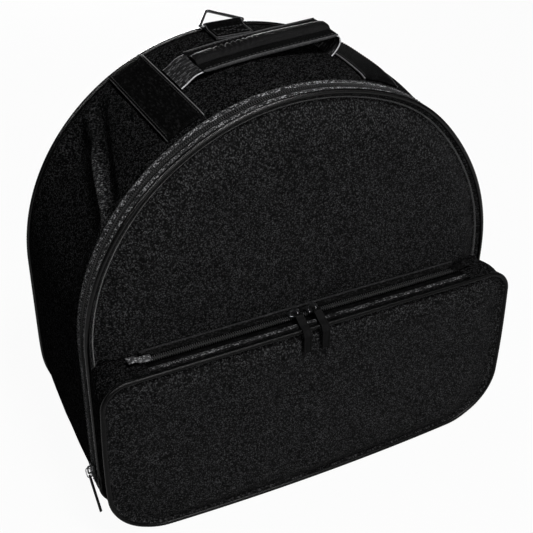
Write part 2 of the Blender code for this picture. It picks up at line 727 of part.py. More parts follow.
def pull_tab(name, finishes, route, place):
    """A flat pull along a route of (length, height). Its head is narrow, with a round hole for the link, and the
    upper face of its grip is sunk inside a rim that runs all the way round."""
    path = [Vector((0, along, up)) for along, up in route]
    end = path[-1] - (path[-1] - path[-2]).normalized() * PULL_RIM
    path = path[:2] + [path[1] + (path[2] - path[1]).normalized() * PULL_RIM] + path[2:-1] + [end, path[-1]]
    across = Vector((1, 0, 0))
    loops = []
    for i, (point, along) in enumerate(zip(path, tangents(path))):
        half = (PULL_NECK if i == 0 else PULL_WIDTH) / 2
        normal = across.cross(along).normalized()
        recess = PULL_RECESS if 1 < i < len(path) - 1 else 0
        top = PULL_THICKNESS / 2
        inner, bed = half - PULL_RIM, half - PULL_RIM - PULL_RECESS
        section = [
            (-half, -top), (half, -top), (half, top), (inner, top),
            (bed, top - recess), (-bed, top - recess), (-inner, top), (-half, top),
        ]
        loops.append([point + across * u + normal * w for u, w in section])
    made = put(name, loops_to_mesh(name, loops, False, True), finishes["pull_rubber"])
    made.matrix_world = place
    hole = [
        [(PULL_EYE * math.cos(t), EYE + PULL_EYE * math.sin(t), up) for t in even_turns(2 * BEND_STEPS)]
        for up in (-PULL_THICKNESS, PULL_THICKNESS)
    ]
    boolean(made, helper(name + "_eye", loops_to_mesh(name + "_eye", hole, False, True), place), "DIFFERENCE")


def main_slider(finishes):
    """The slider of the main zip, at the left end of the zip. Its pull hangs forwards beside the pocket."""
    wall = -BAG_WIDTH / 2 + PIPING_PROUD - ZIP_COIL_PROUD
    foot = Vector((wall - GAP, ZIP_Y, MAIN_SLIDER_Z))
    up, back, out = Vector((0, 0, 1)), Vector((0, 1, 0)), Vector((-1, 0, 0))
    slider("main_zip_slider", finishes, frame_at(foot, up, back, out))
    bar = foot + out * (SLIDER_THICKNESS + BAR_LIFT)
    lean = math.radians(MAIN_PULL_LEAN)
    along = Vector((0, -math.sin(lean), -math.cos(lean)))
    place = frame_at(bar, along.cross(out), along, out)
    pull_link("main_pull_link", finishes, place)
    head = EYE - PULL_HEAD
    pull_tab("main_pull_tab", finishes, [(head, 0), (EYE + PULL_HEAD, 0), (head + PULL_LENGTH, 0)], place)


def pocket_sliders(finishes):
    """Two sliders that meet near the middle of the pocket's top, with pulls over its front edge."""
    foot_z = POCKET_TOP + POCKET_COIL_PROUD + GAP
    bar_z = foot_z + SLIDER_THICKNESS + BAR_LIFT
    head = EYE - PULL_HEAD
    over = POCKET_TOP - bar_z + PULL_OVER + PULL_THICKNESS / 2
    edge = POCKET_ZIP_SETBACK
    hang = edge + POCKET_FABRIC / 2 + POCKET_CROWN + (PULL_OVER + PULL_THICKNESS) / 2
    route = [
        (head, 0),
        (EYE + PULL_HEAD, 0),
        ((EYE + edge) / 2, over * PULL_DIP_SHARE),
        (edge - POCKET_PIPING, over),
        (edge + (hang - edge) * PULL_TURN_SHARE, over - POCKET_PIPING),
        (hang, over - 3 * POCKET_PIPING),
        (hang, over - PULL_DROP),
    ]
    for word, side in (("left", LEFT), ("right", RIGHT)):
        x = POCKET_SLIDER_MIDDLE + side * POCKET_SLIDER_SPACING / 2
        out, up, front = Vector((side, 0, 0)), Vector((0, 0, 1)), Vector((0, -1, 0))
        foot = Vector((x, POCKET_ZIP_Y, foot_z))
        slider("pocket_slider_" + word, finishes, frame_at(foot, out, up.cross(out), up))
        place = frame_at(Vector((x, POCKET_ZIP_Y, bar_z)), front.cross(up), front, up)
        pull_link("pocket_link_" + word, finishes, place)
        pull_tab("pocket_pull_" + word, finishes, route, place)


# Carrying handle


WALL_RADIUS = BAG_WIDTH / 2 - PIPING_PROUD
WALL_TOP = BAG_HEIGHT - PIPING_PROUD


def wall_z(x, lift):
    """Height of the arched wall over x, with something lift proud of it."""
    return ARCH_CENTRE_Z + math.sqrt((WALL_RADIUS + lift) ** 2 - x * x)


def grip_rise(share):
    return GRIP_TILT * share + 4 * GRIP_ARCH * share * (1 - share)


def grip_point(share):
    """Middle line of the grip, from its left end to its right end."""
    over_top = -GRIP_LEFT / (GRIP_RIGHT - GRIP_LEFT)
    base = WALL_TOP + GRIP_CLEAR + GRIP_THICKNESS / 2 - grip_rise(over_top)
    x = GRIP_LEFT + (GRIP_RIGHT - GRIP_LEFT) * share
    return Vector((x, HANDLE_Y, base + grip_rise(share)))


def handle(finishes):
    """One strip of webbing from root to root, with a padded sleeve round its middle."""
    stations = [grip_point(i / GRIP_STEPS) for i in range(GRIP_STEPS + 1)]
    seat = GAP + HANDLE_WEBBING / 2
    root_z = wall_z(HANDLE_ROOT_X, seat)
    out_left = stations[0] - (stations[1] - stations[0]).normalized() * HANDLE_WEBBING
    out_right = stations[-1] + (stations[-1] - stations[-2]).normalized() * HANDLE_WEBBING
    drop_left, drop_right = out_left.z - root_z, out_right.z - root_z
    run_left = out_left.x + HANDLE_ROOT_X
    left = [
        Vector((-HANDLE_ROOT_X + run_left * run, HANDLE_Y, root_z + drop_left * rise))
        for run, rise in LEFT_LEG_SHARES
    ]
    right = [
        Vector((HANDLE_ROOT_X + HANDLE_BEND * bend, HANDLE_Y, root_z + drop_right * rise))
        for bend, rise in RIGHT_LEG_SHARES
    ]
    across = Vector((0, 1, 0))
    path = left + [out_left] + stations + [out_right] + right
    strip("handle_webbing", finishes["webbing"], path, across, HANDLE_WIDTH, HANDLE_WEBBING)
    outer, inner = [], []
    for i, (point, along) in enumerate(zip(stations, tangents(stations))):
        share = i / GRIP_STEPS
        normal = along.cross(across).normalized()
        thick = GRIP_THICKNESS * (GRIP_END_SHARE + (1 - GRIP_END_SHARE) * math.sin(math.pi * share))
        outer.append([point + across * v + normal * w for v, w in sleeve_section(GRIP_WIDTH, thick, GRIP_EDGE)])
        slot_wide, slot_high = HANDLE_WIDTH + 2 * GAP, HANDLE_WEBBING + 2 * GAP
        inner.append([point + across * v + normal * w for v, w in sleeve_section(slot_wide, slot_high, slot_high / 4)])
    loops = outer + list(reversed(inner))
    put("handle_grip", loops_to_mesh("handle_grip", loops, True, False), finishes["grip"])


def sleeve_section(width, height, edge):
    """An oblong with cut corners, crowned over its middle."""
    v, w = width / 2, height / 2
    ease = edge / 2
    return [
        (-v, ease - w), (edge - v, -w), (0, -w), (v - edge, -w), (v, ease - w),
        (v, w - ease), (v - edge, w), (0, w), (edge - v, w), (-v, w - ease),
    ]


# Hanging ring


def filleted(corners, radius, steps):
    """A closed outline through corners, each rounded by an arc of the radius."""
    points = []
    for i, corner in enumerate(corners):
        before = (corners[i - 1] - corner).normalized()
        after = (corners[(i + 1) % len(corners)] - corner).normalized()
        half = before.angle(after) / 2
        centre = corner + (before + after).normalized() * radius / math.sin(half)
        start = corner + before * radius / math.tan(half) - centre
        end = corner + after * radius / math.tan(half) - centre
        turn = start.angle(end)
        for k in range(steps + 1):
            share = k / steps
            mixed = start * math.sin((1 - share) * turn) + end * math.sin(share * turn)
            points.append(centre + mixed / math.sin(turn))
    return points


RING_Z = WALL_TOP + 2 * GAP + TAB_THICKNESS + RING_WIRE


def hanging_ring(finishes):
    """A steel triangle that lies back over the rim, and the folded webbing tab that holds its base."""
    corners = [
        Vector((RING_X - RING_BASE / 2, RING_Y, RING_Z)),
        Vector((RING_X + RING_BASE / 2, RING_Y, RING_Z)),
        Vector((RING_X, RING_Y + RING_REACH, RING_Z)),
    ]
    path = filleted(corners, RING_CORNER, BEND_STEPS)
    wire_ring("triangle_ring", finishes["ring_steel"], path, Vector((0, 0, 1)), RING_WIRE)
    low = WALL_TOP + GAP + TAB_THICKNESS / 2
    turn = RING_WIRE + GAP + TAB_THICKNESS / 2
    route = [(TAB_FRONT_Y, low), (RING_Y - TAB_PINCH, low)]
    route += arc((RING_Y, RING_Z), turn, -90, 90, 2 * BEND_STEPS)
    route += [
        (RING_Y - TAB_PINCH, low + TAB_THICKNESS + GAP),
        (TAB_FRONT_Y, low + TAB_THICKNESS + GAP),
    ]
    path = [Vector((RING_X, y, z)) for y, z in route]
    strip("ring_tab", finishes["webbing"], path, Vector((1, 0, 0)), TAB_WIDTH, TAB_THICKNESS)


# Shoulder straps


BACK_FACE_Y = BACK_Y + NYLON / 2 + BACK_CROWN
STRAP_TAPE_LIFT = GAP + STRAP_TAPE_THICKNESS / 2
LOOP_Y = BACK_FACE_Y + STRAP_CLEAR + STRAP_THICKNESS + STRAP_TAPE_LIFT - LOOP_RADIUS
TOP_BAR_Z = STRAP_FOOT_Z - 2 * LOOP_RADIUS
LOCK_PITCH = LOCK_BAR + LOCK_SLOT
LOCK_HEIGHT = 3 * LOCK_BAR + 2 * LOCK_SLOT
LOCK_Z = TOP_BAR_Z - LOCK_PITCH


def smooth(share):
    return share * share * (3 - 2 * share)


def strap_thickness(share):
    if share >= STRAP_TOP_SHARE:
        return STRAP_THICKNESS
    return STRAP_TOP_THICKNESS + (STRAP_THICKNESS - STRAP_TOP_THICKNESS) * smooth(share / STRAP_TOP_SHARE)


def strap_width(share):
    if share <= STRAP_TAPER_SHARE:
        return STRAP_WIDTH
    part = (share - STRAP_TAPER_SHARE) / (1 - STRAP_TAPER_SHARE)
    return STRAP_WIDTH + (STRAP_FOOT_WIDTH - STRAP_WIDTH) * part * part


def strap_point(share, side):
    """Middle line of a strap: it bows away from the back and ends upright at both ends."""
    bow = STRAP_BOW * math.sin(math.pi * share) ** 2
    return Vector(
        (
            side * (STRAP_TOP_X + (STRAP_FOOT_X - STRAP_TOP_X) * smooth(share)),
            BACK_FACE_Y + STRAP_CLEAR + strap_thickness(share) / 2 + bow,
            STRAP_TOP_Z + (STRAP_FOOT_Z - STRAP_TOP_Z) * share,
        )
    )


def strap_section(width, thickness):
    """Flat towards the back, crowned on the outside, with drawn-in edges."""
    return [(v * width / 2, w * thickness / 2) for v, w in STRAP_SECTION_SHARES]


def shoulder_strap(word, side, finishes):
    shares = [i / STRAP_STEPS for i in range(STRAP_STEPS + 1)]
    path = [strap_point(share, side) for share in shares]
    ways = tangents(path)
    ways[0] = ways[-1] = Vector((0, 0, -1))
    pad, tape = [], []
    for share, point, along in zip(shares, path, ways):
        across = along.cross(Vector((0, 1, 0))).normalized() * side
        normal = across.cross(along) * side
        section = strap_section(strap_width(share), strap_thickness(share))
        pad.append([point + across * v + normal * w for v, w in section])
        tape.append((point + normal * (strap_thickness(share) / 2 + STRAP_TAPE_LIFT), across, normal))
    put("strap_pad_" + word, loops_to_mesh("strap_pad_" + word, pad, False, True), finishes["side_nylon"])
    x = side * STRAP_FOOT_X
    for y, z in arc((LOOP_Y, TOP_BAR_Z), LOOP_RADIUS, 0, -180, 2 * BEND_STEPS):
        normal = Vector((0, y - LOOP_Y, z - TOP_BAR_Z)).normalized()
        tape.append((Vector((x, y, z)), Vector((side, 0, 0)), normal))
    end = Vector((x, LOOP_Y - LOOP_RADIUS, STRAP_FOOT_Z - STRAP_TAPE_LIFT))
    tape.append((end, Vector((side, 0, 0)), Vector((0, -1, 0))))
    loops = []
    for point, across, normal in tape[1:]:
        sides = across * TAPE_WIDTH / 2, normal * STRAP_TAPE_THICKNESS / 2
        loops.append([point + u * sides[0] + v * sides[1] for u, v in ((-1, -1), (1, -1), (1, 1), (-1, 1))])
    put("strap_tape_" + word, loops_to_mesh("strap_tape_" + word, loops, False, True), finishes["webbing"])


def ladder_lock(word, side, finishes):
    """The plastic adjuster: a frame with three bars, the strap's tape on the top one."""
    holes = []
    for row in (1, -1):
        hole = rounded_oblong(LOCK_SLOT_WIDTH, LOCK_SLOT, LOCK_EDGE, 1)
        holes.append([(u, v + row * LOCK_PITCH / 2) for u, v in reversed(hole)])
    outlines = [rounded_oblong(LOCK_WIDTH, LOCK_HEIGHT, LOCK_CORNER)] + holes
    place = frame_at((side * STRAP_FOOT_X, LOOP_Y, LOCK_Z), (1, 0, 0), (0, 0, 1), (0, -1, 0))
    plate("ladder_lock_" + word, finishes["buckle"], outlines, LOCK_THICKNESS, LOCK_EDGE, place)


def lower_webbing(word, side, finishes):
    """Webbing from the lower corner of the back up to the middle bar, over it and down again as a free tail."""
    back_y, front_y = LOOP_Y - TURN_RADIUS, LOOP_Y + TURN_RADIUS
    start_y = BACK_FACE_Y + STRAP_CLEAR + STRAP_TAPE_THICKNESS / 2
    foot, head = ANCHOR_TOP_Z + GAP, LOCK_Z - LOCK_HEIGHT / 2
    route = [(start_y + (back_y - start_y) * out, foot + (head - foot) * up) for out, up in WEBBING_SAG_SHARES]
    route.append((back_y, head))
    route += arc((LOOP_Y, LOCK_Z), TURN_RADIUS, 180, 0, 2 * BEND_STEPS)
    route += [(front_y, head), (front_y + STRAP_TAPE_THICKNESS, TAIL_END_Z)]
    path = [Vector((side * STRAP_FOOT_X, y, z)) for y, z in route]
    strip("strap_webbing_" + word, finishes["webbing"], path, Vector((1, 0, 0)), TAPE_WIDTH, STRAP_TAPE_THICKNESS)


def patch(name, material, columns, rows, spot, thickness):
    """A sewn patch that follows the crowned back. spot(u, v) gives (x, z) for shares u and v."""
    loops = []
    for c in range(columns + 1):
        under, over = [], []
        for r in range(rows + 1):
            x, z = spot(c / columns, r / rows)
            y = back_face(x, z) + PATCH_CLEAR
            under.append((x, y, z))
            over.append((x, y + thickness, z))
        loops.append(under + list(reversed(over)))
    put(name, loops_to_mesh(name, loops, False, True), material)


def back_patches(finishes):
    yoke_foot = STRAP_TOP_Z + GAP
    patch(
        "strap_yoke", finishes["webbing"], 8, 2,
        lambda u, v: (YOKE_WIDTH * (u - 0.5), yoke_foot + YOKE_HEIGHT * v), YOKE_THICKNESS,
    )
    for word, side in (("left", LEFT), ("right", RIGHT)):
        patch(
            "strap_anchor_" + word, finishes["webbing"], 4, 3,
            lambda u, v, side=side: (
                side * STRAP_FOOT_X + (u - 0.5) * (ANCHOR_WIDTH + (ANCHOR_NECK - ANCHOR_WIDTH) * v),
                ANCHOR_FOOT_Z + (ANCHOR_TOP_Z - ANCHOR_FOOT_Z) * v,
            ),
            YOKE_THICKNESS,
        )


def main():
    for found in list(bpy.data.objects):
        bpy.data.objects.remove(found)
    finishes = make_finishes()
    body_layers(finishes)
    panel_layers(("back_cover", "back_foam", "back_lining"), finishes, BACK_Y, RIGHT, BACK_CROWN)
    panel_layers(("lid_cover", "lid_foam", "lid_lining"), finishes, FRONT_Y, LEFT, LID_CROWN)
    seam_piping("back_piping", finishes, BACK_Y)
    seam_piping("lid_piping", finishes, FRONT_Y)
    main_zip(finishes)
    fold_strips(finishes)
    lid_rim(finishes)
    band("band_left", finishes, LEFT)
    band("band_right", finishes, RIGHT)
    pocket_wall(finishes)
    pocket_front(finishes)
    pocket_zip(finishes)
    main_slider(finishes)
    pocket_sliders(finishes)
    handle(finishes)
    hanging_ring(finishes)
    back_patches(finishes)
    for word, side in (("left", LEFT), ("right", RIGHT)):
        shoulder_strap(word, side, finishes)
        ladder_lock(word, side, finishes)
        lower_webbing(word, side, finishes)


main()
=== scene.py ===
# %% [markdown]
# # Dressing a padded drum backpack
# The bag's solids are built and packed already: where each piece sits, how big it is and what turns
# on what. This script sews the looks round them, so that a fabric wall gets its weave, its seams
# and its sag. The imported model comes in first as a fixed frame, and no piece of it is ever moved.

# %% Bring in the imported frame
import math

import bpy
import numpy as np
from mathutils.bvhtree import BVHTree
from mathutils import Matrix, Vector


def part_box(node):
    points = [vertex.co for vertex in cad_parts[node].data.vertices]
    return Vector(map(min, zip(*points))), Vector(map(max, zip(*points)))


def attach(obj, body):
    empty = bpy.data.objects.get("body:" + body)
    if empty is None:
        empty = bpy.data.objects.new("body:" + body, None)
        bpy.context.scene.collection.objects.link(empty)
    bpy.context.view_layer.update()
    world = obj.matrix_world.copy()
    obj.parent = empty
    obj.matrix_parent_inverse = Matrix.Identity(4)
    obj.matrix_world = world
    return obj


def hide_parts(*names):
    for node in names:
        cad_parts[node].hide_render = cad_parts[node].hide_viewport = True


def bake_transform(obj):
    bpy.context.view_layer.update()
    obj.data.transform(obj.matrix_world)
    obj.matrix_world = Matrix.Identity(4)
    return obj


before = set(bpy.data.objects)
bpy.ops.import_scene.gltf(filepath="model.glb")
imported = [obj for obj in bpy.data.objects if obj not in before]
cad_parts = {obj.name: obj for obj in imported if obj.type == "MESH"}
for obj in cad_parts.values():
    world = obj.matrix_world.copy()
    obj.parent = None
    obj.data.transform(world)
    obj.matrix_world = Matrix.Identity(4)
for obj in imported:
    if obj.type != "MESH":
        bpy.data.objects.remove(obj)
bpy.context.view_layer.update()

# %% [markdown]
# ## Camera
# A product shot is best matched before anything is modelled. A long lens from above the left
# corner keeps the D shape nearly free of perspective. The camera's own axes are worked out from
# an azimuth, an elevation and a little roll.

# %% Set up the camera
CAMERA_PLACE = Vector((-0.3959, -0.7955, 0.7575))
AZIMUTH, ELEVATION, ROLL = (math.radians(degrees) for degrees in (-27.04, 33.58, 0.63))
LENS_MM = 71.31
SENSOR_MM = 36.0


def make_camera():
    flat = math.cos(ELEVATION)
    away = Vector((math.sin(AZIMUTH) * flat, -math.cos(AZIMUTH) * flat, math.sin(ELEVATION)))
    level = Vector((0, 0, 1)).cross(away).normalized()
    upright = away.cross(level)
    right = math.cos(ROLL) * level + math.sin(ROLL) * upright
    top = math.cos(ROLL) * upright - math.sin(ROLL) * level
    data = bpy.data.cameras.new("camera")
    data.lens, data.sensor_width = LENS_MM, SENSOR_MM
    camera = bpy.data.objects.new("camera", data)
    bpy.context.scene.collection.objects.link(camera)
    camera.matrix_world = Matrix.Translation(CAMERA_PLACE) @ Matrix((right, top, away)).transposed().to_4x4()
    bpy.context.scene.camera = camera
    return camera


print("camera lens:", make_camera().data.lens, "mm")

# %% [markdown]
# ## Light and floor
# Black cloth shows its form only by where it catches light. The key lamp hangs high before the
# bag, a second one lights its front, and weaker ones give the top and the right side some form.
# A lamp low behind the bag draws the crease and the back edge. The glint lamp on the left adds
# no soft light and shows only in what is glossy. The floor is plain and pale. Rays that the
# camera sends straight at it are mixed with white, which keeps the picture's background clean
# while the shadow under the bag stays.

# %% Lamps, sky and floor
LAMPS = (
    # name, watts, size, place, whether it gives soft light
    ("key_lamp", 46.0, 0.5, (0.12, -1.00, 2.25), True),
    ("front_lamp", 16.0, 0.7, (0.10, -2.10, 1.00), True),
    ("top_lamp", 5.0, 0.5, (0.00, 0.50, 2.10), True),
    ("glint_lamp", 14.0, 0.4, (-1.20, -0.95, 1.45), False),
    ("fill_lamp", 2.0, 0.5, (1.3, -1.0, 1.2), True),
    ("back_lamp", 22.0, 0.7, (0.55, 1.90, 0.25), True),
)
LAMP_AIM = Vector((0.0, 0.0, 0.2))
SKY_STRENGTH = 0.04
FLOOR_RADIUS, FLOOR_SIDES = 9.0, 96
FLOOR_GREY, FLOOR_ROUGHNESS, FLOOR_WHITE_SHARE = 0.42, 0.9, 0.955


def lamp(name, watts, size, place, soft):
    data = bpy.data.lights.new(name, "AREA")
    data.energy, data.shape, data.size = watts, "DISK", size
    made = bpy.data.objects.new(name, data)
    made.location = place
    made.rotation_mode = "QUATERNION"
    made.rotation_quaternion = (LAMP_AIM - Vector(place)).to_track_quat("-Z", "Y")
    made.visible_diffuse = soft
    bpy.context.scene.collection.objects.link(made)


def plain_sky():
    world = bpy.data.worlds.new("soft_sky")
    world.use_nodes = True
    tree = world.node_tree
    background = tree.nodes["Background"]
    path = tree.nodes.new("ShaderNodeLightPath")
    seen = tree.nodes.new("ShaderNodeMath")
    seen.operation = "MAXIMUM"
    tree.links.new(path.outputs["Is Camera Ray"], seen.inputs[0])
    tree.links.new(path.outputs["Is Transmission Ray"], seen.inputs[1])
    strength = tree.nodes.new("ShaderNodeMapRange")
    strength.inputs["To Min"].default_value = SKY_STRENGTH
    strength.inputs["To Max"].default_value = 1.0
    tree.links.new(seen.outputs[0], strength.inputs["Value"])
    tree.links.new(strength.outputs[0], background.inputs["Strength"])
    background.inputs["Color"].default_value = (1.0, 1.0, 1.0, 1.0)
    bpy.context.scene.world = world


def pale_floor():
    mesh = bpy.data.meshes.new("floor")
    turns = [2 * math.pi * i / FLOOR_SIDES for i in range(FLOOR_SIDES)]
    rim = [(FLOOR_RADIUS * math.cos(t), FLOOR_RADIUS * math.sin(t), 0.0) for t in turns]
    mesh.from_pydata(rim, [], [tuple(range(FLOOR_SIDES))])
    material = bpy.data.materials.new("floor_paper")
    material.use_nodes = True
    tree = material.node_tree
    paper = tree.nodes["Principled BSDF"]
    paper.inputs["Base Color"].default_value = (FLOOR_GREY, FLOOR_GREY, FLOOR_GREY, 1.0)
    paper.inputs["Roughness"].default_value = FLOOR_ROUGHNESS
    white = tree.nodes.new("ShaderNodeEmission")
    path = tree.nodes.new("ShaderNodeLightPath")
    share = tree.nodes.new("ShaderNodeMath")
    share.operation = "MULTIPLY"
    share.inputs[1].default_value = FLOOR_WHITE_SHARE
    mix = tree.nodes.new("ShaderNodeMixShader")
    tree.links.new(path.outputs["Is Camera Ray"], share.inputs[0])
    tree.links.new(share.outputs[0], mix.inputs["Fac"])
    tree.links.new(paper.outputs[0], mix.inputs[1])
    tree.links.new(white.outputs[0], mix.inputs[2])
    tree.links.new(mix.outputs[0], tree.nodes["Material Output"].inputs["Surface"])
    mesh.materials.append(material)
    floor = bpy.data.objects.new("floor", mesh)
    bpy.context.scene.collection.objects.link(floor)


for lamp_facts in LAMPS:
    lamp(*lamp_facts)
plain_sky()
pale_floor()
bpy.context.scene.view_settings.view_transform = "Standard"
print("lamps:", sum(watts for _, watts, *_ in LAMPS), "W in all")

# %% [markdown]
# ## Sizes read from the frame
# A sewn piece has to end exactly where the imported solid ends, so the main measures are read from
# the solids' corners. What a solid's box can't tell, such as the radius of a corner, is a named
# length here.

# %% Read the bag's measures
MM = 0.001
lid_seam_low, lid_seam_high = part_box("lid_piping")
back_seam_low, back_seam_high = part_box("back_piping")
_, wall_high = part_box("body_gusset_cover")
_, body_tape_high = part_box("body_zip_tape")
lid_cover_low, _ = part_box("lid_cover")
_, back_cover_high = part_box("back_cover")
pocket_seam_low, pocket_seam_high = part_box("pocket_piping")

HALF_WIDTH = lid_seam_high.x
ARCH_Z = lid_seam_high.z - HALF_WIDTH
FRONT_SEAM = (lid_seam_low.y + lid_seam_high.y) / 2
BACK_SEAM = (back_seam_low.y + back_seam_high.y) / 2
WALL_INSET = HALF_WIDTH - wall_high.x
CORNER = 30 * MM
PIPING = 2.4 * MM
SEAM_LIFT = 1.7 * MM
CLOTH = 1.2 * MM
FOLD_Y = FRONT_SEAM + 12 * MM
print(f"bag: {2 * HALF_WIDTH:.3f} wide, {lid_seam_high.z:.3f} high")

# %% [markdown]
# ## Threads as a node group
# Every cloth on the bag is woven, only coarser or finer. One node group draws plain weave from a
# place measured in metres: it finds the crossing that a point lies in, asks which thread is on
# top there, and rounds that thread's back. Single crossings get a random lift in tone, which
# gives nylon its speckle. It puts out a colour and a height, and each material sets its own
# thread counts.

# %% Helpers for node trees


def node_group(name, inputs, outputs):
    group = bpy.data.node_groups.new(name, "ShaderNodeTree")
    for label, kind, value in inputs:
        socket = group.interface.new_socket(name=label, in_out="INPUT", socket_type=kind)
        if value is not None:
            socket.default_value = value
    for label, kind in outputs:
        group.interface.new_socket(name=label, in_out="OUTPUT", socket_type=kind)
    return group, group.nodes.new("NodeGroupInput"), group.nodes.new("NodeGroupOutput")


def wire(tree, value, socket):
    if isinstance(value, bpy.types.NodeSocket):
        tree.links.new(value, socket)
    else:
        socket.default_value = value


def sums(tree, operation, *values):
    """A Math node with its inputs wired or set."""
    node = tree.nodes.new("ShaderNodeMath")
    node.operation = operation
    for value, socket in zip(values, node.inputs):
        wire(tree, value, socket)
    return node.outputs[0]


def feed(tree, node, inputs):
    """Wires or sets the named inputs of a node."""
    for label, value in inputs.items():
        wire(tree, value, node.inputs[label])
    return node


def use_group(tree, group, inputs):
    """A node for one of the shared groups. It gives the group's outputs."""
    node = tree.nodes.new("ShaderNodeGroup")
    node.node_tree = group
    return feed(tree, node, inputs).outputs


def blended(tree, share, first, second):
    node = tree.nodes.new("ShaderNodeMix")
    node.data_type = "RGBA"
    return feed(tree, node, {"Factor": share, "A": first, "B": second}).outputs["Result"]


def clouds(tree, place, per_metre, detail=2.0):
    node = tree.nodes.new("ShaderNodeTexNoise")
    return feed(tree, node, {"Scale": per_metre, "Detail": detail, "Vector": place}).outputs["Fac"]


# %% Build the woven threads group
FLECK_POWER = 5.0


def make_woven_threads():
    tree, given, result = node_group(
        "woven_threads",
        [
            ("Place", "NodeSocketVector", None),
            ("Warp per metre", "NodeSocketFloat", 1000.0),
            ("Weft per metre", "NodeSocketFloat", 1000.0),
            ("Dark", "NodeSocketColor", (0.01, 0.01, 0.01, 1.0)),
            ("Light", "NodeSocketColor", (0.05, 0.05, 0.05, 1.0)),
            ("Speckle", "NodeSocketFloat", 0.6),
            ("Cloudiness", "NodeSocketFloat", 0.2),
        ],
        [("Colour", "NodeSocketColor"), ("Height", "NodeSocketFloat")],
    )
    split = tree.nodes.new("ShaderNodeSeparateXYZ")
    tree.links.new(given.outputs["Place"], split.inputs[0])
    across = sums(tree, "MULTIPLY", split.outputs["X"], given.outputs["Warp per metre"])
    along = sums(tree, "MULTIPLY", split.outputs["Y"], given.outputs["Weft per metre"])
    column, row = sums(tree, "FLOOR", across), sums(tree, "FLOOR", along)
    warp_back = sums(tree, "SINE", sums(tree, "MULTIPLY", sums(tree, "FRACT", across), math.pi))
    weft_back = sums(tree, "SINE", sums(tree, "MULTIPLY", sums(tree, "FRACT", along), math.pi))
    warp_on_top = sums(tree, "FLOORED_MODULO", sums(tree, "ADD", column, row), 2.0)
    warp = sums(tree, "MULTIPLY", warp_back, sums(tree, "MULTIPLY_ADD", weft_back, 0.55, 0.45))
    weft = sums(tree, "MULTIPLY", weft_back, sums(tree, "MULTIPLY_ADD", warp_back, 0.55, 0.45))
    height = sums(tree, "MULTIPLY_ADD", warp_on_top, sums(tree, "SUBTRACT", warp, weft), weft)
    square = tree.nodes.new("ShaderNodeCombineXYZ")
    tree.links.new(sums(tree, "FLOOR", sums(tree, "MULTIPLY", across, 0.5)), square.inputs["X"])
    tree.links.new(sums(tree, "FLOOR", sums(tree, "MULTIPLY", along, 0.5)), square.inputs["Y"])
    chance = tree.nodes.new("ShaderNodeTexWhiteNoise")
    tree.links.new(square.outputs[0], chance.inputs["Vector"])
    rare = sums(tree, "POWER", chance.outputs["Value"], FLECK_POWER)
    fleck = sums(tree, "MULTIPLY", rare, given.outputs["Speckle"])
    cloud = sums(tree, "SUBTRACT", clouds(tree, given.outputs["Place"], 38.0, 3.0), 0.5)
    tone = sums(tree, "MULTIPLY_ADD", cloud, given.outputs["Cloudiness"], fleck)
    # Raised thread crowns are painted a little paler and the gaps between them darker: painted shade in the
    # weave's hollows.
    share = sums(tree, "MULTIPLY_ADD", height, 0.04, tone)
    share = sums(tree, "MINIMUM", sums(tree, "MAXIMUM", share, 0.0), 1.0)
    colour = blended(tree, share, given.outputs["Dark"], given.outputs["Light"])
    tree.links.new(colour, result.inputs["Colour"])
    tree.links.new(height, result.inputs["Height"])
    return tree


woven_threads = make_woven_threads()
print("woven_threads:", len(woven_threads.nodes), "nodes")

# %% [markdown]
# ## Lint as a second group
# Black goods always carry a little pale lint. It is a mask of small specks, thicker where a soft
# noise says so, that mixes a pale grey over the colour that comes in.

# %% Build the lint group
LINT_COLOUR = (0.30, 0.30, 0.29, 1.0)


def make_lint():
    tree, given, result = node_group(
        "lint",
        [
            ("Place", "NodeSocketVector", None),
            ("Colour", "NodeSocketColor", (0.0, 0.0, 0.0, 1.0)),
            ("Amount", "NodeSocketFloat", 0.1),
        ],
        [("Colour", "NodeSocketColor")],
    )
    specks = clouds(tree, given.outputs["Place"], 900.0, 1.0)
    drift = clouds(tree, given.outputs["Place"], 25.0, 2.0)
    mask = sums(tree, "GREATER_THAN", specks, 0.71)
    mask = sums(tree, "MULTIPLY", sums(tree, "MULTIPLY", mask, drift), given.outputs["Amount"])
    colour = blended(tree, mask, given.outputs["Colour"], LINT_COLOUR)
    tree.links.new(colour, result.inputs["Colour"])
    return tree


lint = make_lint()

# %% [markdown]
# ## Cloth materials
# A cloth material reads its place from the map named `cloth`, whose units are metres along the
# cut of each piece. The weave then runs with the piece, as it does on a real bag, where the
# threads follow the cut and not the room. Webbing gets a pale selvedge down both edges, because
# the turned threads there catch the light.

# %% Make the cloths
FINISHES = {}
SHEEN_ROUGHNESS = 0.4


def new_material(name):
    material = bpy.data.materials.new(name)
    material.use_nodes = True
    FINISHES[name] = material
    return material, material.node_tree, material.node_tree.nodes["Principled BSDF"]


def grey(level):
    return (level, level, level * 1.03, 1.0)


def cloth_place(tree):
    node = tree.nodes.new("ShaderNodeUVMap")
    node.uv_map = "cloth"
    return node.outputs["UV"]


def bump(tree, shader, height, depth):
    node = tree.nodes.new("ShaderNodeBump")
    feed(tree, node, {"Distance": depth, "Strength": 1.0, "Height": height})
    tree.links.new(node.outputs["Normal"], shader.inputs["Normal"])


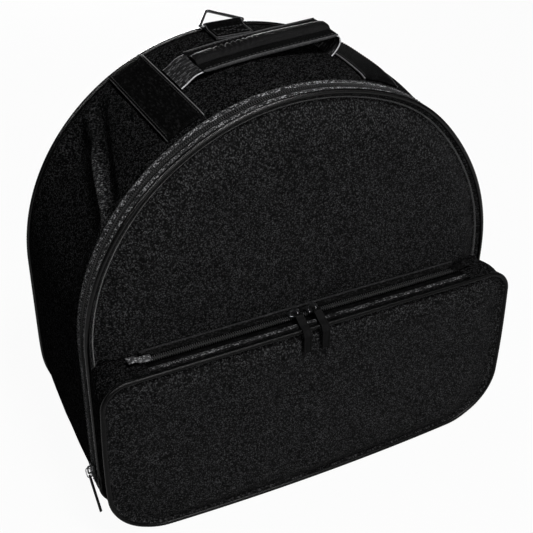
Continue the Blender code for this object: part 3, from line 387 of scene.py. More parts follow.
def cloth(name, dark, light, warp, roughness, depth_mm, speckle, cloudiness, sheen, gloss, weft=None):
    """Woven cloth. warp and weft are threads per metre, and the same when only warp is given."""
    material, tree, shader = new_material(name)
    place = cloth_place(tree)
    threads = {"Place": place, "Warp per metre": warp, "Weft per metre": weft or warp}
    tones = {"Dark": grey(dark), "Light": grey(light), "Speckle": speckle, "Cloudiness": cloudiness}
    weave = use_group(tree, woven_threads, threads | tones)
    dusty = use_group(tree, lint, {"Place": place, "Colour": weave["Colour"]})
    gleam = {"Roughness": roughness, "Specular IOR Level": gloss}
    fuzz = {"Sheen Weight": sheen, "Sheen Roughness": SHEEN_ROUGHNESS}
    feed(tree, shader, {"Base Color": dusty["Colour"]} | gleam | fuzz)
    bump(tree, shader, weave["Height"], depth_mm * MM)
    return material


CLOTHS = {
    # dark, light, threads per metre, roughness, depth in mm, speckle, cloudiness, sheen, gloss
    "front_nylon": (0.0012, 0.070, 2300.0, 0.60, 0.10, 0.80, 0.05, 0.0, 0.02),
    # side_nylon is the same nylon as front_nylon, painted darker: painted shade for the walls, the back, the
    # hinge and the pocket's wall.
    "side_nylon": (0.0004, 0.042, 2300.0, 0.60, 0.10, 0.85, 0.02, 0.0, 0.0),
    # zip_tape is pale speckled tape, its paleness partly a painted highlight.
    "zip_tape": (0.004, 0.45, 1900.0, 0.6, 0.15, 0.9, 0.03, 0.0, 0.03),
    "dark_tape": (0.0010, 0.030, 1900.0, 0.6, 0.15, 0.5, 0.03, 0.0, 0.02),
    # rolled_edge is pale as a painted highlight on the sleeve's bound edges.
    "rolled_edge": (0.040, 0.150, 2200.0, 0.5, 0.08, 0.4, 0.25, 0.005, 0.05),
    # ridge_tape is paler as a painted highlight on the crest of the pocket's rear ridge.
    "ridge_tape": (0.010, 0.050, 2200.0, 0.5, 0.08, 0.6, 0.25, 0.005, 0.03),
    # grip_pad is a little paler as painted light on the top of the grip.
    "grip_pad": (0.003, 0.022, 2600.0, 0.5, 0.06, 0.3, 0.3, 0.005, 0.05),
    "binding": (0.004, 0.05, 2400.0, 0.55, 0.1, 0.4, 0.2, 0.005, 0.15),
    "plush": (0.020, 0.08, 900.0, 0.95, 0.6, 0.5, 0.30, 0.3, 0.1),
    "piping": (0.0005, 0.006, 2200.0, 0.18, 0.03, 0.3, 0.2, 0.005, 0.30),
    "dull_piping": (0.0005, 0.004, 2200.0, 0.30, 0.03, 0.3, 0.2, 0.005, 0.14),
    # mouth_tape is paler as a painted highlight on the crest of the pocket's front strip.
    "mouth_tape": (0.003, 0.20, 1900.0, 0.6, 0.15, 0.9, 0.30, 0.0, 0.03),
    "patch_cloth": (0.003, 0.045, 1500.0, 0.6, 0.15, 0.7, 0.1, 0.005, 0.03),
    "mesh_pad": (0.005, 0.07, 620.0, 0.8, 0.5, 0.2, 0.2, 0.005, 0.12),
    "grip_cloth": (0.0010, 0.016, 2100.0, 0.6, 0.15, 0.5, 0.2, 0.005, 0.02),
    "tape_end": (0.030, 0.45, 1700.0, 0.6, 0.2, 0.9, 0.2, 0.005, 0.05),
    "sewing_thread": (0.014, 0.08, 2600.0, 0.5, 0.05, 0.6, 0.2, 0.005, 0.2),
}
for cloth_name, cloth_facts in CLOTHS.items():
    cloth(cloth_name, *cloth_facts)
print("cloths:", len(FINISHES))

# %% [markdown]
# ## Webbing
# Webbing is woven much coarser than the wall cloth, with a rib across it every couple of
# millimetres. The selvedge is a mask on how near the edge a point lies, read from the second
# coordinate of its map, which runs from nought at one edge to the strap's width at the other.

# %% Make the webbings
WEBBING_RIBS, WEBBING_WEFT = 620.0, 1700.0
SELVEDGE = 0.8 * MM


def webbing(name, width, edge_level, dark, light):
    material = cloth(name, dark, light, WEBBING_RIBS, 0.6, 0.25, 0.8, 0.2, 0.005, 0.02, weft=WEBBING_WEFT)
    tree, shader = material.node_tree, material.node_tree.nodes["Principled BSDF"]
    split = tree.nodes.new("ShaderNodeSeparateXYZ")
    tree.links.new(cloth_place(tree), split.inputs[0])
    off_middle = sums(tree, "ABSOLUTE", sums(tree, "SUBTRACT", split.outputs["Y"], width / 2))
    selvedge = sums(tree, "GREATER_THAN", off_middle, width / 2 - SELVEDGE)
    uneven = sums(tree, "MULTIPLY_ADD", clouds(tree, cloth_place(tree), 600.0), 0.9, 0.35)
    # The pale selvedge is a painted highlight along each edge of the webbing.
    selvedge_highlight = sums(tree, "MULTIPLY", selvedge, uneven)
    below = shader.inputs["Base Color"].links[0].from_socket
    tree.links.new(blended(tree, selvedge_highlight, below, grey(edge_level)), shader.inputs["Base Color"])


BAND_WIDTH = 38 * MM
HANDLE_STRAP = 44 * MM
STRAP_TAPE = 25 * MM
webbing("band_webbing", BAND_WIDTH, 0.16, dark=0.0004, light=0.009)
webbing("handle_webbing", HANDLE_STRAP, 0.62, dark=0.008, light=0.13)
webbing("tab_webbing", BAND_WIDTH, 0.10, dark=0.0004, light=0.006)
webbing("strap_webbing", STRAP_TAPE, 0.05, dark=0.004, light=0.06)

# %% [markdown]
# ## Hard finishes
# The sliders are cast zinc under worn enamel, the pulls moulded rubber, the ring plated wire and
# the adjusters moulded plastic. They share one effect, a fine cast grain, so it is a group too.
# Rubbing shows where the grain group's mask is high, as paler and smoother patches.

# %% Build the grain group and the hard finishes


def make_cast_grain():
    tree, given, result = node_group(
        "cast_grain",
        [
            ("Place", "NodeSocketVector", None),
            ("Colour", "NodeSocketColor", (0.1, 0.1, 0.1, 1.0)),
            ("Rubbed", "NodeSocketColor", (0.4, 0.4, 0.4, 1.0)),
            ("Wear", "NodeSocketFloat", 0.3),
            ("Roughness", "NodeSocketFloat", 0.4),
        ],
        [("Colour", "NodeSocketColor"), ("Roughness", "NodeSocketFloat"), ("Height", "NodeSocketFloat")],
    )
    fine = clouds(tree, given.outputs["Place"], 2600.0, 2.0)
    broad = clouds(tree, given.outputs["Place"], 260.0, 4.0)
    rubbed = sums(tree, "MULTIPLY", sums(tree, "POWER", broad, 2.0), given.outputs["Wear"])
    colour = blended(tree, rubbed, given.outputs["Colour"], given.outputs["Rubbed"])
    tree.links.new(colour, result.inputs["Colour"])
    rough = sums(tree, "MULTIPLY_ADD", sums(tree, "SUBTRACT", fine, 0.5), 0.25, given.outputs["Roughness"])
    tree.links.new(rough, result.inputs["Roughness"])
    tree.links.new(fine, result.inputs["Height"])
    return tree


cast_grain = make_cast_grain()


def hard(name, colour, rubbed, wear, roughness, metallic, depth_mm, gloss):
    _, tree, shader = new_material(name)
    place = tree.nodes.new("ShaderNodeTexCoord").outputs["Object"]
    tones = {"Colour": grey(colour), "Rubbed": grey(rubbed), "Wear": wear, "Roughness": roughness}
    grain = use_group(tree, cast_grain, {"Place": place} | tones)
    gleam = {"Roughness": grain["Roughness"], "Metallic": metallic, "Specular IOR Level": gloss}
    feed(tree, shader, {"Base Color": grain["Colour"]} | gleam)
    bump(tree, shader, grain["Height"], depth_mm * MM)


HARD_FINISHES = {
    # colour, rubbed colour, wear, roughness, metallic, depth in mm, gloss
    "dark_metal": (0.10, 0.45, 0.9, 0.30, 1.0, 0.02, 0.3),
    "ring_steel": (0.13, 0.34, 0.8, 0.26, 1.0, 0.01, 0.3),
    "pull_rubber": (0.0025, 0.010, 0.6, 0.50, 0.0, 0.03, 0.04),
    "coil_nylon": (0.014, 0.060, 0.8, 0.30, 0.0, 0.01, 0.3),
    "buckle": (0.010, 0.022, 0.5, 0.38, 0.0, 0.02, 0.3),
}
for hard_name, hard_facts in HARD_FINISHES.items():
    hard(hard_name, *hard_facts)
print("finishes:", ", ".join(sorted(FINISHES)))

# %% [markdown]
# ## Walking round an outline
# Almost every seam on the bag follows the D outline, only further in or out. So the outline is
# walked once, as straight runs and arcs, and each point keeps its outward direction. Any strip is
# then that walk, moved in by its own inset.

# %% Walk an outline


def smooth(share):
    share = np.clip(share, 0.0, 1.0)
    return share * share * (3 - 2 * share)


def walk(parts, step, closed=True):
    """Points, outward normals and running length along straight runs and arcs in the x-z plane."""
    at, out = [], []
    for kind, first, last, *facts in parts:
        if kind == "run":
            way = np.subtract(last, first)
            length = np.hypot(*way)
            count = max(1, round(length / step))
            at += [np.add(first, way * i / count) for i in range(count)]
            out += [np.array((way[1], -way[0])) / length] * count
        else:
            centre, radius = facts
            sweep = math.radians(last - first)
            count = max(1, round(radius * abs(sweep) / step))
            for i in range(count):
                turn = math.radians(first) + sweep * i / count
                out.append(np.array((math.cos(turn), math.sin(turn))))
                at.append(np.add(centre, radius * out[-1]))
    if closed:
        loop = at + at[:1]
    else:
        kind, first, last, *facts = parts[-1]
        at.append(np.array(last if kind == "run" else np.add(facts[0], facts[1] * out[-1]), float))
        out.append(out[-1])
        loop = at
    steps = np.hypot(*np.diff(np.array(loop), axis=0).T)
    length = np.r_[0.0, np.cumsum(steps)]
    return {"at": np.array(at), "out": np.array(out), "length": length, "closed": closed}


FLOOR = -WALL_INSET
BAG_PARTS = [
    ("run", (0.0, FLOOR), (HALF_WIDTH - CORNER, FLOOR)),
    ("arc", -90, 0, (HALF_WIDTH - CORNER, FLOOR + CORNER), CORNER),
    ("run", (HALF_WIDTH, FLOOR + CORNER), (HALF_WIDTH, ARCH_Z)),
    ("arc", 0, 180, (0.0, ARCH_Z), HALF_WIDTH),
    ("run", (-HALF_WIDTH, ARCH_Z), (-HALF_WIDTH, FLOOR + CORNER)),
    ("arc", 180, 270, (CORNER - HALF_WIDTH, FLOOR + CORNER), CORNER),
    ("run", (CORNER - HALF_WIDTH, FLOOR), (0.0, FLOOR)),
]
bag_walk = walk(BAG_PARTS, 4 * MM)
fine_walk = walk(BAG_PARTS, 1.5 * MM)
AROUND = bag_walk["length"][-1]
ZIP_START = HALF_WIDTH - CORNER + CORNER * math.pi / 4
print(f"outline: {len(bag_walk['at'])} points, {AROUND:.3f} m round, zip {AROUND - 2 * ZIP_START:.3f} m")

# %% [markdown]
# ## How the bag has settled
# A bag that has carried a drum doesn't keep its drawn shape. The two lower corners at the back
# have lost their stuffing and draw in, more on the left than on the right. The right shoulder has
# swollen instead, most of all half-way between the seams. Both are written as one rule on places,
# and every cloth is passed through it, so that neighbours stay together.

# %% Settle the bag
SLUMP_BY_Y = ((-0.060, 0.0), (-0.045, 0.002), (0.0, 0.004), (0.030, 0.0045), (0.056, 0.0075), (0.0875, 0.014))
SLUMP_REACH = 34 * MM
SLUMP_SHARE = {-1: 1.0, 1: 0.4}
SHOULDER_TURN, SHOULDER_WIDTH = 55.0, 15.0
SHOULDER_RISE, SHOULDER_SWELL, SWELL_Y, SWELL_WIDTH = 3.2 * MM, 5.5 * MM, 8 * MM, 55 * MM


def settled(points):
    points = np.array(points, float)
    x, y, z = points[..., 0].copy(), points[..., 1], points[..., 2].copy()
    for side, share in SLUMP_SHARE.items():
        gap = np.hypot(x - side * (HALF_WIDTH - CORNER / 3), z - CORNER / 3)
        push = share * np.interp(y, *np.array(SLUMP_BY_Y).T) * np.exp(-((gap / SLUMP_REACH) ** 2))
        points[..., 0] -= side * 0.80 * push
        points[..., 2] += 0.60 * push
    reach = np.hypot(x, z - ARCH_Z)
    turn = np.degrees(np.arctan2(z - ARCH_Z, x))
    swell = SHOULDER_RISE + SHOULDER_SWELL * np.exp(-(((y - SWELL_Y) / SWELL_WIDTH) ** 4))
    near_edge = smooth((reach / HALF_WIDTH - 0.55) / 0.4)
    push = swell * np.exp(-(((turn - SHOULDER_TURN) / SHOULDER_WIDTH) ** 2)) * near_edge
    push = np.where(np.abs(y) < 1.08 * BACK_SEAM, push, 0.0)
    points[..., 0] += push * x / np.maximum(reach, MM)
    points[..., 2] += push * (z - ARCH_Z) / np.maximum(reach, MM)
    return points


# %% [markdown]
# ## From rows of points to cloth
# A strip or a panel is a grid of points. The helper below turns the grid into quads, joins it up
# where it runs round, and writes the map in metres. Thin cloth then gets its thickness from a
# Solidify modifier, applied at once.

# %% Make meshes and pieces


def grid(*coordinates):
    """Points from coordinates that are single numbers, rows, columns or whole grids."""
    return np.stack(np.broadcast_arrays(*coordinates), -1)


def unit(ways):
    return ways / np.linalg.norm(ways, axis=1, keepdims=True)


def running(points):
    """Length along a polyline, from nought."""
    return np.r_[0.0, np.cumsum(np.linalg.norm(np.diff(np.asarray(points, float), axis=0), axis=1))]


def rows_at(wanted, span, rows):
    """Rows at wanted running lengths, when span has the running length of each given row."""
    return np.stack([np.interp(wanted, span, column) for column in np.array(rows).T], -1)


def places_of(mesh):
    return np.array([vertex.co for vertex in mesh.vertices])


def put_places(mesh, places):
    mesh.vertices.foreach_set("co", places.astype(np.float32).ravel())


def put_map(mesh, uv):
    """Writes the map in metres, one row of uv for each corner of each face."""
    mesh.uv_layers.new(name="cloth").data.foreach_set("uv", uv.astype(np.float32).ravel())


def new_mesh(name, places, faces, uv=None):
    """A smooth mesh. Where no map is given, it is the place on the pattern seen from the front."""
    mesh = bpy.data.meshes.new(name)
    mesh.from_pydata(places.tolist(), [], faces)
    put_map(mesh, places[np.concatenate(faces)][:, (0, 2)] if uv is None else uv)
    mesh.shade_smooth()
    return mesh


def quads(nu, nv, round_u, round_v):
    """Corners of the quads over a grid, as rows and columns, and the faces that they make."""
    rows, columns = nu if round_u else nu - 1, nv if round_v else nv - 1
    u, v = np.meshgrid(np.arange(rows), np.arange(columns), indexing="ij")
    corners = [(u, v), (u + 1, v), (u + 1, v + 1), (u, v + 1)]
    return corners, np.stack([(p % nu) * nv + q % nv for p, q in corners], -1).reshape(-1, 4).tolist()


def cloth_mesh(name, points, along, across, round_u=False, round_v=False, caps=False):
    """Quads over a grid. along and across are running lengths, one longer where the grid closes."""
    nu, nv = points.shape[:2]
    flat = points.reshape(-1, 3)
    corners, faces = quads(nu, nv, round_u, round_v)
    uv = np.stack([grid(along[p], across[q]) for p, q in corners], 2).reshape(-1, 2)
    if caps:
        ends = [list(range(nv))[::-1], [(nu - 1) * nv + k for k in range(nv)]]
        faces += ends
        uv = np.vstack([uv] + [flat[end][:, :2] for end in ends])
    mesh = new_mesh(name, flat, faces, uv)
    if round_v and (round_u or caps) and enclosed(mesh) < 0:
        mesh.flip_normals()
    return mesh


def enclosed(mesh):
    """Volume inside a closed mesh, below nought when its faces look inwards."""
    mesh.calc_loop_triangles()
    triangles = np.array([triangle.vertices for triangle in mesh.loop_triangles])
    a, b, c = places_of(mesh)[triangles].transpose(1, 0, 2)
    return np.einsum("ij,ij->i", a, np.cross(b, c)).sum() / 6


def linked(name, mesh, finish, settle=True):
    if settle:
        put_places(mesh, settled(places_of(mesh)))
    mesh.materials.append(FINISHES[finish])
    made = bpy.data.objects.new(name, mesh)
    bpy.context.scene.collection.objects.link(made)
    return made


def with_modifier(made, kind, **settings):
    modifier = made.modifiers.new(kind.lower(), kind)
    for key, value in settings.items():
        setattr(modifier, key, value)
    return modifier


def set_modifiers(made):
    """Replaces the mesh by what its modifiers make of it."""
    graph = bpy.context.evaluated_depsgraph_get()
    mesh = bpy.data.meshes.new_from_object(made.evaluated_get(graph))
    made.modifiers.clear()
    made.data = mesh
    return made


def thicken(made, thickness, offset=-1.0):
    with_modifier(made, "SOLIDIFY", thickness=thickness, offset=offset, use_even_offset=False)
    return set_modifiers(made)


def second_finish(made, finish, chosen):
    """Gives another finish to the faces whose middles pass the test chosen(x, y, z)."""
    made.data.materials.append(FINISHES[finish])
    for face in made.data.polygons:
        if chosen(*face.center):
            face.material_index = len(made.data.materials) - 1
    return made


def seat(made, body, slot, *nodes):
    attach(made, body)
    if nodes:
        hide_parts(*nodes)
    return made


def ring_points(track, insets, ys, lift=0.0):
    """Grid of points: one row for each point of the walk, one column for each (inset, y)."""
    insets = np.broadcast_to(np.asarray(insets, float), (len(track["at"]), np.shape(insets)[-1]))
    flat = track["at"][:, None] - track["out"][:, None] * insets[..., None]
    raised = lift * np.clip(1 - flat[..., 1] / ARCH_Z, 0, 1)
    return grid(flat[..., 0], ys, flat[..., 1] + raised)


def part_of(track, start, end):
    """The stretch of a walk between two lengths. A start below nought reaches back over its seam."""
    whole = track["length"]
    count = len(track["at"])
    if start < 0:
        shifted = int(np.searchsorted(whole, whole[-1] + start))
        order = np.r_[shifted:count, 0 : np.searchsorted(whole, end) + 1]
        length = whole[:-1][order] - np.where(order >= shifted, whole[-1], 0.0)
    else:
        order = np.arange(np.searchsorted(whole, start), np.searchsorted(whole, end) + 1)
        length = whole[order]
    around = order % count
    return {"at": track["at"][around], "out": track["out"][around], "length": length, "closed": False}


def strip(name, finish, track, profile, thickness):
    """A strip of cloth along a walk. profile lists (y, inset) across it."""
    ys, insets = np.array(profile, float).T
    points, across = ring_points(track, insets, ys), running(np.c_[ys, insets])
    mesh = cloth_mesh(name, points, track["length"], across, round_u=track["closed"])
    return thicken(linked(name, mesh, finish), thickness, offset=1.0)


# %% [markdown]
# ## The wall cloth
# The long wall between the two seams is one piece of nylon over foam. It dips at both seams, and
# on the upper left it has a crease where the wall was folded in storage: a sharp ridge, with the
# cloth fallen in on both sides. How far in a point lies comes from its distance to the ridge
# line, and behind the ridge it fades with a bell curve. The ridge's threads are painted paler, a
# painted highlight where the ridge catches the light.

# %% Sew the wall
WALL_FRONT = FOLD_Y + 10.0 * MM
WALL_BACK = BACK_SEAM - PIPING
CREASE_START = (0.8666, 0.0760)
CREASE_END = (0.9223, -0.0690)
CREASE_DEPTH = 11.0 * MM
FORK_START, FORK_END = (0.8800, 0.0600), (0.9060, 0.0330)
CREASE_FADE = 60 * MM
FORK_SHARE, FORK_FADE = 0.4, 25 * MM
FALL_SLOPE = 16 * MM
VALLEY_SHARE, VALLEY_GAP, VALLEY_SLOPE = 0.70, 1 * MM, 8 * MM
VALLEY_END, VALLEY_FADE = 26 * MM, 13 * MM
SEAM_DIP, SEAM_REACH = 1.2 * MM, 9 * MM
SLACK_REACH = 25 * MM
FLOOR_GAP, FLOOR_REACH = 2 * MM, 30 * MM
UNEVEN, PROUD = 1.6 * MM, 0.2 * MM


def crease_depth(length, y, start, end, depth, fade):
    """How far the wall falls in beside a ridge: a valley before it, a slack fall behind."""
    (l0, y0), (l1, y1) = start, end
    way = np.array((l1 - l0, y1 - y0))
    span = np.hypot(*way)
    way /= span
    along = ((length - l0) * way[0] + (y - y0) * way[1]) / span
    behind = (length - l0) * -way[1] + (y - y0) * way[0]
    below = smooth(behind / FALL_SLOPE) * np.exp(-((np.maximum(behind - FALL_SLOPE, 0) / fade) ** 2))
    valley = VALLEY_SHARE * smooth((-behind - VALLEY_GAP) / VALLEY_SLOPE)
    above = valley * smooth((VALLEY_END + behind) / VALLEY_FADE)
    return depth * (below + above) * smooth((along + 0.25) / 0.4) * smooth((1.15 - along) / 0.35)


def ripples(length, y, size, seed):
    """Slow uneven waves, the same each time, made from a few sines."""
    rng = np.random.default_rng(seed)
    total = 0.0
    for _ in range(6):
        angle, pitch, phase = rng.uniform(0, math.pi), rng.uniform(45, 130) * MM, rng.uniform(0, 2 * math.pi)
        total = total + np.sin(2 * math.pi * (length * math.cos(angle) + y * math.sin(angle)) / pitch + phase)
    return size * total / 6


def wall_inset(length, y):
    """How far in from the piping the cloth lies, at lengths (a column) and depths (a row)."""
    from_seam = np.minimum(y - WALL_FRONT, WALL_BACK - y)
    dip = SEAM_DIP * (1 - smooth(from_seam / SEAM_REACH))
    uneven = np.maximum(ripples(length, y, UNEVEN, 7), -PROUD)
    off_floor = smooth((bag_walk["at"][:, 1:] - FLOOR_GAP) / FLOOR_REACH)
    main = crease_depth(length, y, CREASE_START, CREASE_END, CREASE_DEPTH, CREASE_FADE)
    fork = crease_depth(length, y, FORK_START, FORK_END, FORK_SHARE * CREASE_DEPTH, FORK_FADE)
    return WALL_INSET + dip + smooth(from_seam / SLACK_REACH) * (uneven + main + fork) * off_floor


# A painted highlight on the crease's ridge: where it lies, how wide it is, how it fades along the ridge, and
# its two tones.
RIDGE_HIGHLIGHT_MIDDLE, RIDGE_HIGHLIGHT_WIDTH = 1.0 * MM, 5.2 * MM
RIDGE_HIGHLIGHT_START, RIDGE_HIGHLIGHT_FULL, RIDGE_HIGHLIGHT_END = 0.25, 0.70, 1.12
RIDGE_HIGHLIGHT_DARK, RIDGE_HIGHLIGHT_LIGHT = 0.006, 0.29


def ridge_highlighted_nylon():
    """The wall's nylon, painted darker than the front's as painted shade, with a highlight painted pale along
    the ridge of the crease.
    """
    facts = CLOTHS["side_nylon"]
    tree = cloth("wall_nylon", *facts).node_tree
    split = tree.nodes.new("ShaderNodeSeparateXYZ")
    tree.links.new(cloth_place(tree), split.inputs[0])
    (l0, y0), (l1, y1) = CREASE_START, CREASE_END
    span = math.hypot(l1 - l0, y1 - y0)
    way = ((l1 - l0) / span, (y1 - y0) / span)
    over = sums(tree, "SUBTRACT", split.outputs["X"], l0)
    back = sums(tree, "SUBTRACT", split.outputs["Y"], y0 - WALL_FRONT)
    along = sums(tree, "MULTIPLY_ADD", over, way[0] / span, sums(tree, "MULTIPLY", back, way[1] / span))
    behind = sums(tree, "MULTIPLY_ADD", over, -way[1], sums(tree, "MULTIPLY", back, way[0]))
    off = sums(tree, "DIVIDE", sums(tree, "SUBTRACT", behind, RIDGE_HIGHLIGHT_MIDDLE), RIDGE_HIGHLIGHT_WIDTH)
    near = sums(tree, "EXPONENT", sums(tree, "MULTIPLY", sums(tree, "MULTIPLY", off, off), -1.0))
    rising = sums(tree, "DIVIDE", sums(tree, "SUBTRACT", along, RIDGE_HIGHLIGHT_START), RIDGE_HIGHLIGHT_FULL - RIDGE_HIGHLIGHT_START)
    falling = sums(tree, "DIVIDE", sums(tree, "SUBTRACT", RIDGE_HIGHLIGHT_END, along), RIDGE_HIGHLIGHT_END - RIDGE_HIGHLIGHT_FULL)
    fade = sums(tree, "MAXIMUM", sums(tree, "MINIMUM", sums(tree, "MINIMUM", rising, falling), 1.0), 0.0)
    # The mask of the painted highlight along the ridge.
    rubbed = sums(tree, "MULTIPLY", near, fade)
    weave = next(node for node in tree.nodes if node.type == "GROUP" and node.node_tree == woven_threads)
    dark, light = (grey(level) for level in facts[:2])
    tree.links.new(blended(tree, rubbed, dark, grey(RIDGE_HIGHLIGHT_DARK)), weave.inputs["Dark"])
    tree.links.new(blended(tree, rubbed, light, grey(RIDGE_HIGHLIGHT_LIGHT)), weave.inputs["Light"])


ridge_highlighted_nylon()


def wall_cloth():
    ys = np.linspace(WALL_FRONT, WALL_BACK, 64)
    length = bag_walk["length"][:-1, None]
    points = ring_points(bag_walk, wall_inset(length, ys[None]), ys)
    mesh = cloth_mesh("wall_cloth", points, bag_walk["length"], running(ys[:, None]), round_u=True)
    return thicken(linked("wall_cloth", mesh, "wall_nylon"), CLOTH, offset=1.0)


seat(wall_cloth(), "bag", "side_nylon", "body_gusset_cover")
print("wall cloth: crease", CREASE_DEPTH * 1000, "mm deep")

# %% [markdown]
# ## Foam and plush inside the wall
# Behind the nylon lies a foam sheet, and behind that a short plush that keeps the drum's finish
# from harm. They are quilted together as one wall, whose cut front edge is wrapped in binding
# tape. With the lid open this edge is what one sees first, so it is rounded and bound.

# %% Line the wall
FOAM_OUTSIDE = WALL_INSET + 1.5 * MM
LINING_INSIDE = WALL_INSET + 9.7 * MM
foam_low, foam_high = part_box("body_gusset_foam")
LINING_FRONT, LINING_BACK = foam_low.y, foam_high.y
EDGE_ROUND = 3.0 * MM
BINDING_DEPTH = 11 * MM


def rounded_wall(front, back, outside, inside, edge):
    """Closed section of a padded wall as (y, inset), with a rounded front edge."""
    middle, half = (outside + inside) / 2, (inside - outside) / 2
    turns = np.linspace(-math.pi / 2, math.pi / 2, 7)
    nose = [(front + edge - edge * math.cos(t), middle + half * math.sin(t)) for t in turns]
    ys = np.linspace(front + edge, back, 24)[1:]
    return nose + [(y, inside) for y in ys] + [(y, outside) for y in ys[::-1]]


def swept(name, finish, section, insets):
    """A closed section of (y, inset) taken round the bag. The insets may change on the way."""
    points, across = ring_points(bag_walk, insets, section[:, 0]), running(np.r_[section, section[:1]])
    mesh = cloth_mesh(name, points, bag_walk["length"], across, round_u=True, round_v=True)
    return linked(name, mesh, finish)


def wall_lining():
    section = np.array(rounded_wall(LINING_FRONT, LINING_BACK, FOAM_OUTSIDE, LINING_INSIDE, EDGE_ROUND))
    ys, insets = section.T
    length = bag_walk["length"][:-1, None]
    from_edge = np.minimum(ys - LINING_FRONT, LINING_BACK - ys)[None]
    follow = np.maximum(wall_inset(length, ys[None]) + CLOTH + 0.4 * MM - FOAM_OUTSIDE, 0.0)
    inside = insets > WALL_INSET + 5 * MM
    soft = ripples(length, ys[None], 0.8 * MM, 11) * smooth(from_edge / (20 * MM)) * inside
    return swept("wall_lining", "plush", section, insets[None] + follow + soft)


def lining_binding():
    front, back = LINING_FRONT - 0.2 * MM, LINING_FRONT + BINDING_DEPTH
    outside, inside = FOAM_OUTSIDE + 0.1 * MM, LINING_INSIDE + 0.7 * MM
    section = np.array(rounded_wall(front, back, outside, inside, EDGE_ROUND))
    return swept("lining_binding", "binding", section, section[:, 1])


seat(wall_lining(), "bag", "plush", "body_gusset_foam", "body_gusset_lining")
seat(lining_binding(), "bag", "webbing")

# %% [markdown]
# ## The two big panels
# The lid and the back are padded D shapes. Their cloth is drawn down hard at the piped seam and
# rises from there in a soft roll to a flat middle. Rings that shrink towards the middle follow
# this roll exactly. The cloth's map is simply the place on the pattern, so the weave runs straight
# over the whole panel.

# %% Make a crowned panel
PANEL_INSET = 2 * PIPING + 0.3 * MM
COVER_INSET, INNER_INSET = PANEL_INSET - 1.0 * MM, PANEL_INSET + 2.6 * MM
GROOVE, ROLL_SHARE, ROLL_POWER = 3.0 * MM, 0.960, 2.4
PANEL_RINGS, LAST_RING = 44, 0.99
MIDDLE = np.array((0.0, 0.195))


def panel_shares():
    """How far out each ring lies, packed closer near the seam."""
    return 1 - np.linspace(0.0, LAST_RING, PANEL_RINGS) ** 2.0


def crown_profile(share, crown, groove=GROOVE, flat_share=0.84):
    """Height of a padded face at a share of its outline: a groove, then a tight roll to the flat."""
    down = -groove * smooth((1 - share) / (0.5 - 0.5 * ROLL_SHARE))
    roll = np.clip((ROLL_SHARE - share) / (ROLL_SHARE - flat_share), 0, 1)
    return down + (crown + groove) * (1 - (1 - roll) ** ROLL_POWER)


def panel_mesh(
    name, outline, middle, y, face, crown, rough, seed, deform=None, flat_share=0.80, groove=GROOVE
):
    """Rings of an outline shrinking about its middle. face is -1 for a front and 1 for a back."""
    rings = []
    for share in panel_shares():
        flat = middle + (outline - middle) * share
        height = crown_profile(share, crown, groove, flat_share)
        height = height + ripples(flat[:, 0], flat[:, 1], rough, seed) * smooth((1 - share) / 0.2)
        rings.append(grid(flat[:, 0], y + face * height, flat[:, 1]))
    points = np.array(rings) if deform is None else deform(rings)
    nu, nv = points.shape[:2]
    faces = quads(nu, nv, False, True)[1]
    faces += [[(nu - 1) * nv + k, nu * nv, (nu - 1) * nv + (k + 1) % nv] for k in range(nv)]
    if face < 0:
        faces = [corners[::-1] for corners in faces]
    return new_mesh(name, np.vstack([points.reshape(-1, 3), points[-1].mean(0)]), faces)


def panel_outline(inset):
    flat = bag_walk["at"] - bag_walk["out"] * inset
    flat[:, 1] += SEAM_LIFT * np.clip(1 - flat[:, 1] / ARCH_Z, 0, 1)
    return flat


# %% Sew the lid and the back
LID_CROWN = FRONT_SEAM - CLOTH / 2 - lid_cover_low.y
BACK_CROWN = back_cover_high.y - BACK_SEAM - CLOTH / 2
STACK_DEPTH = 9.7 * MM
INNER_STEP, INNER_THICK = 8.2 * MM, 7.6 * MM
INNER_FRONT, INNER_BACK = FRONT_SEAM + STACK_DEPTH - INNER_STEP, BACK_SEAM - STACK_DEPTH + INNER_STEP
PANELS = (
    # name, y, side it faces, crown, inset, seed, finish, thickness, unevenness
    ("lid_cloth", FRONT_SEAM - CLOTH / 2, -1, LID_CROWN, COVER_INSET, 3, "front_nylon", CLOTH, 0.9 * MM),
    # The back takes the darker side_nylon, a painted shade.
    ("back_cloth", BACK_SEAM + CLOTH / 2, 1, BACK_CROWN, COVER_INSET, 5, "side_nylon", CLOTH, 0.5 * MM),
    ("lid_inner", INNER_FRONT, -1, LID_CROWN, INNER_INSET, 4, "plush", INNER_THICK, 0.5 * MM),
    ("back_inner", INNER_BACK, 1, BACK_CROWN, INNER_INSET, 6, "plush", INNER_THICK, 0.5 * MM),
)


def padded_panel(name, y, face, crown, inset, seed, finish, thickness, rough):
    mesh = panel_mesh(name, panel_outline(inset), MIDDLE, y, face, crown, rough, seed)
    return thicken(linked(name, mesh, finish), thickness)


lid_cloth, back_cloth, lid_inner, back_inner = (padded_panel(*facts) for facts in PANELS)
seat(lid_cloth, "lid", "front_nylon", "lid_cover")
seat(back_cloth, "bag", "front_nylon", "back_cover")
seat(lid_inner, "lid", "plush", "lid_foam", "lid_lining")
seat(back_inner, "bag", "plush", "back_foam", "back_lining")
print(f"lid crown {LID_CROWN * 1000:.1f} mm, back crown {BACK_CROWN * 1000:.1f} mm")

# %% [markdown]
# ## Piped seams
# Piping is a cord wrapped in a bias strip and caught in the seam. Round a curve the strip gathers
# into tiny ribs, so the radius swells and shrinks by a few hundredths of a millimetre along the
# way. This is a tube swept along the outline, closed on itself.

# %% Sweep the piping
PIPING_SIDES = 12
RIB_PITCH = 3.4 * MM
RIB_RISE = 0.06 * MM


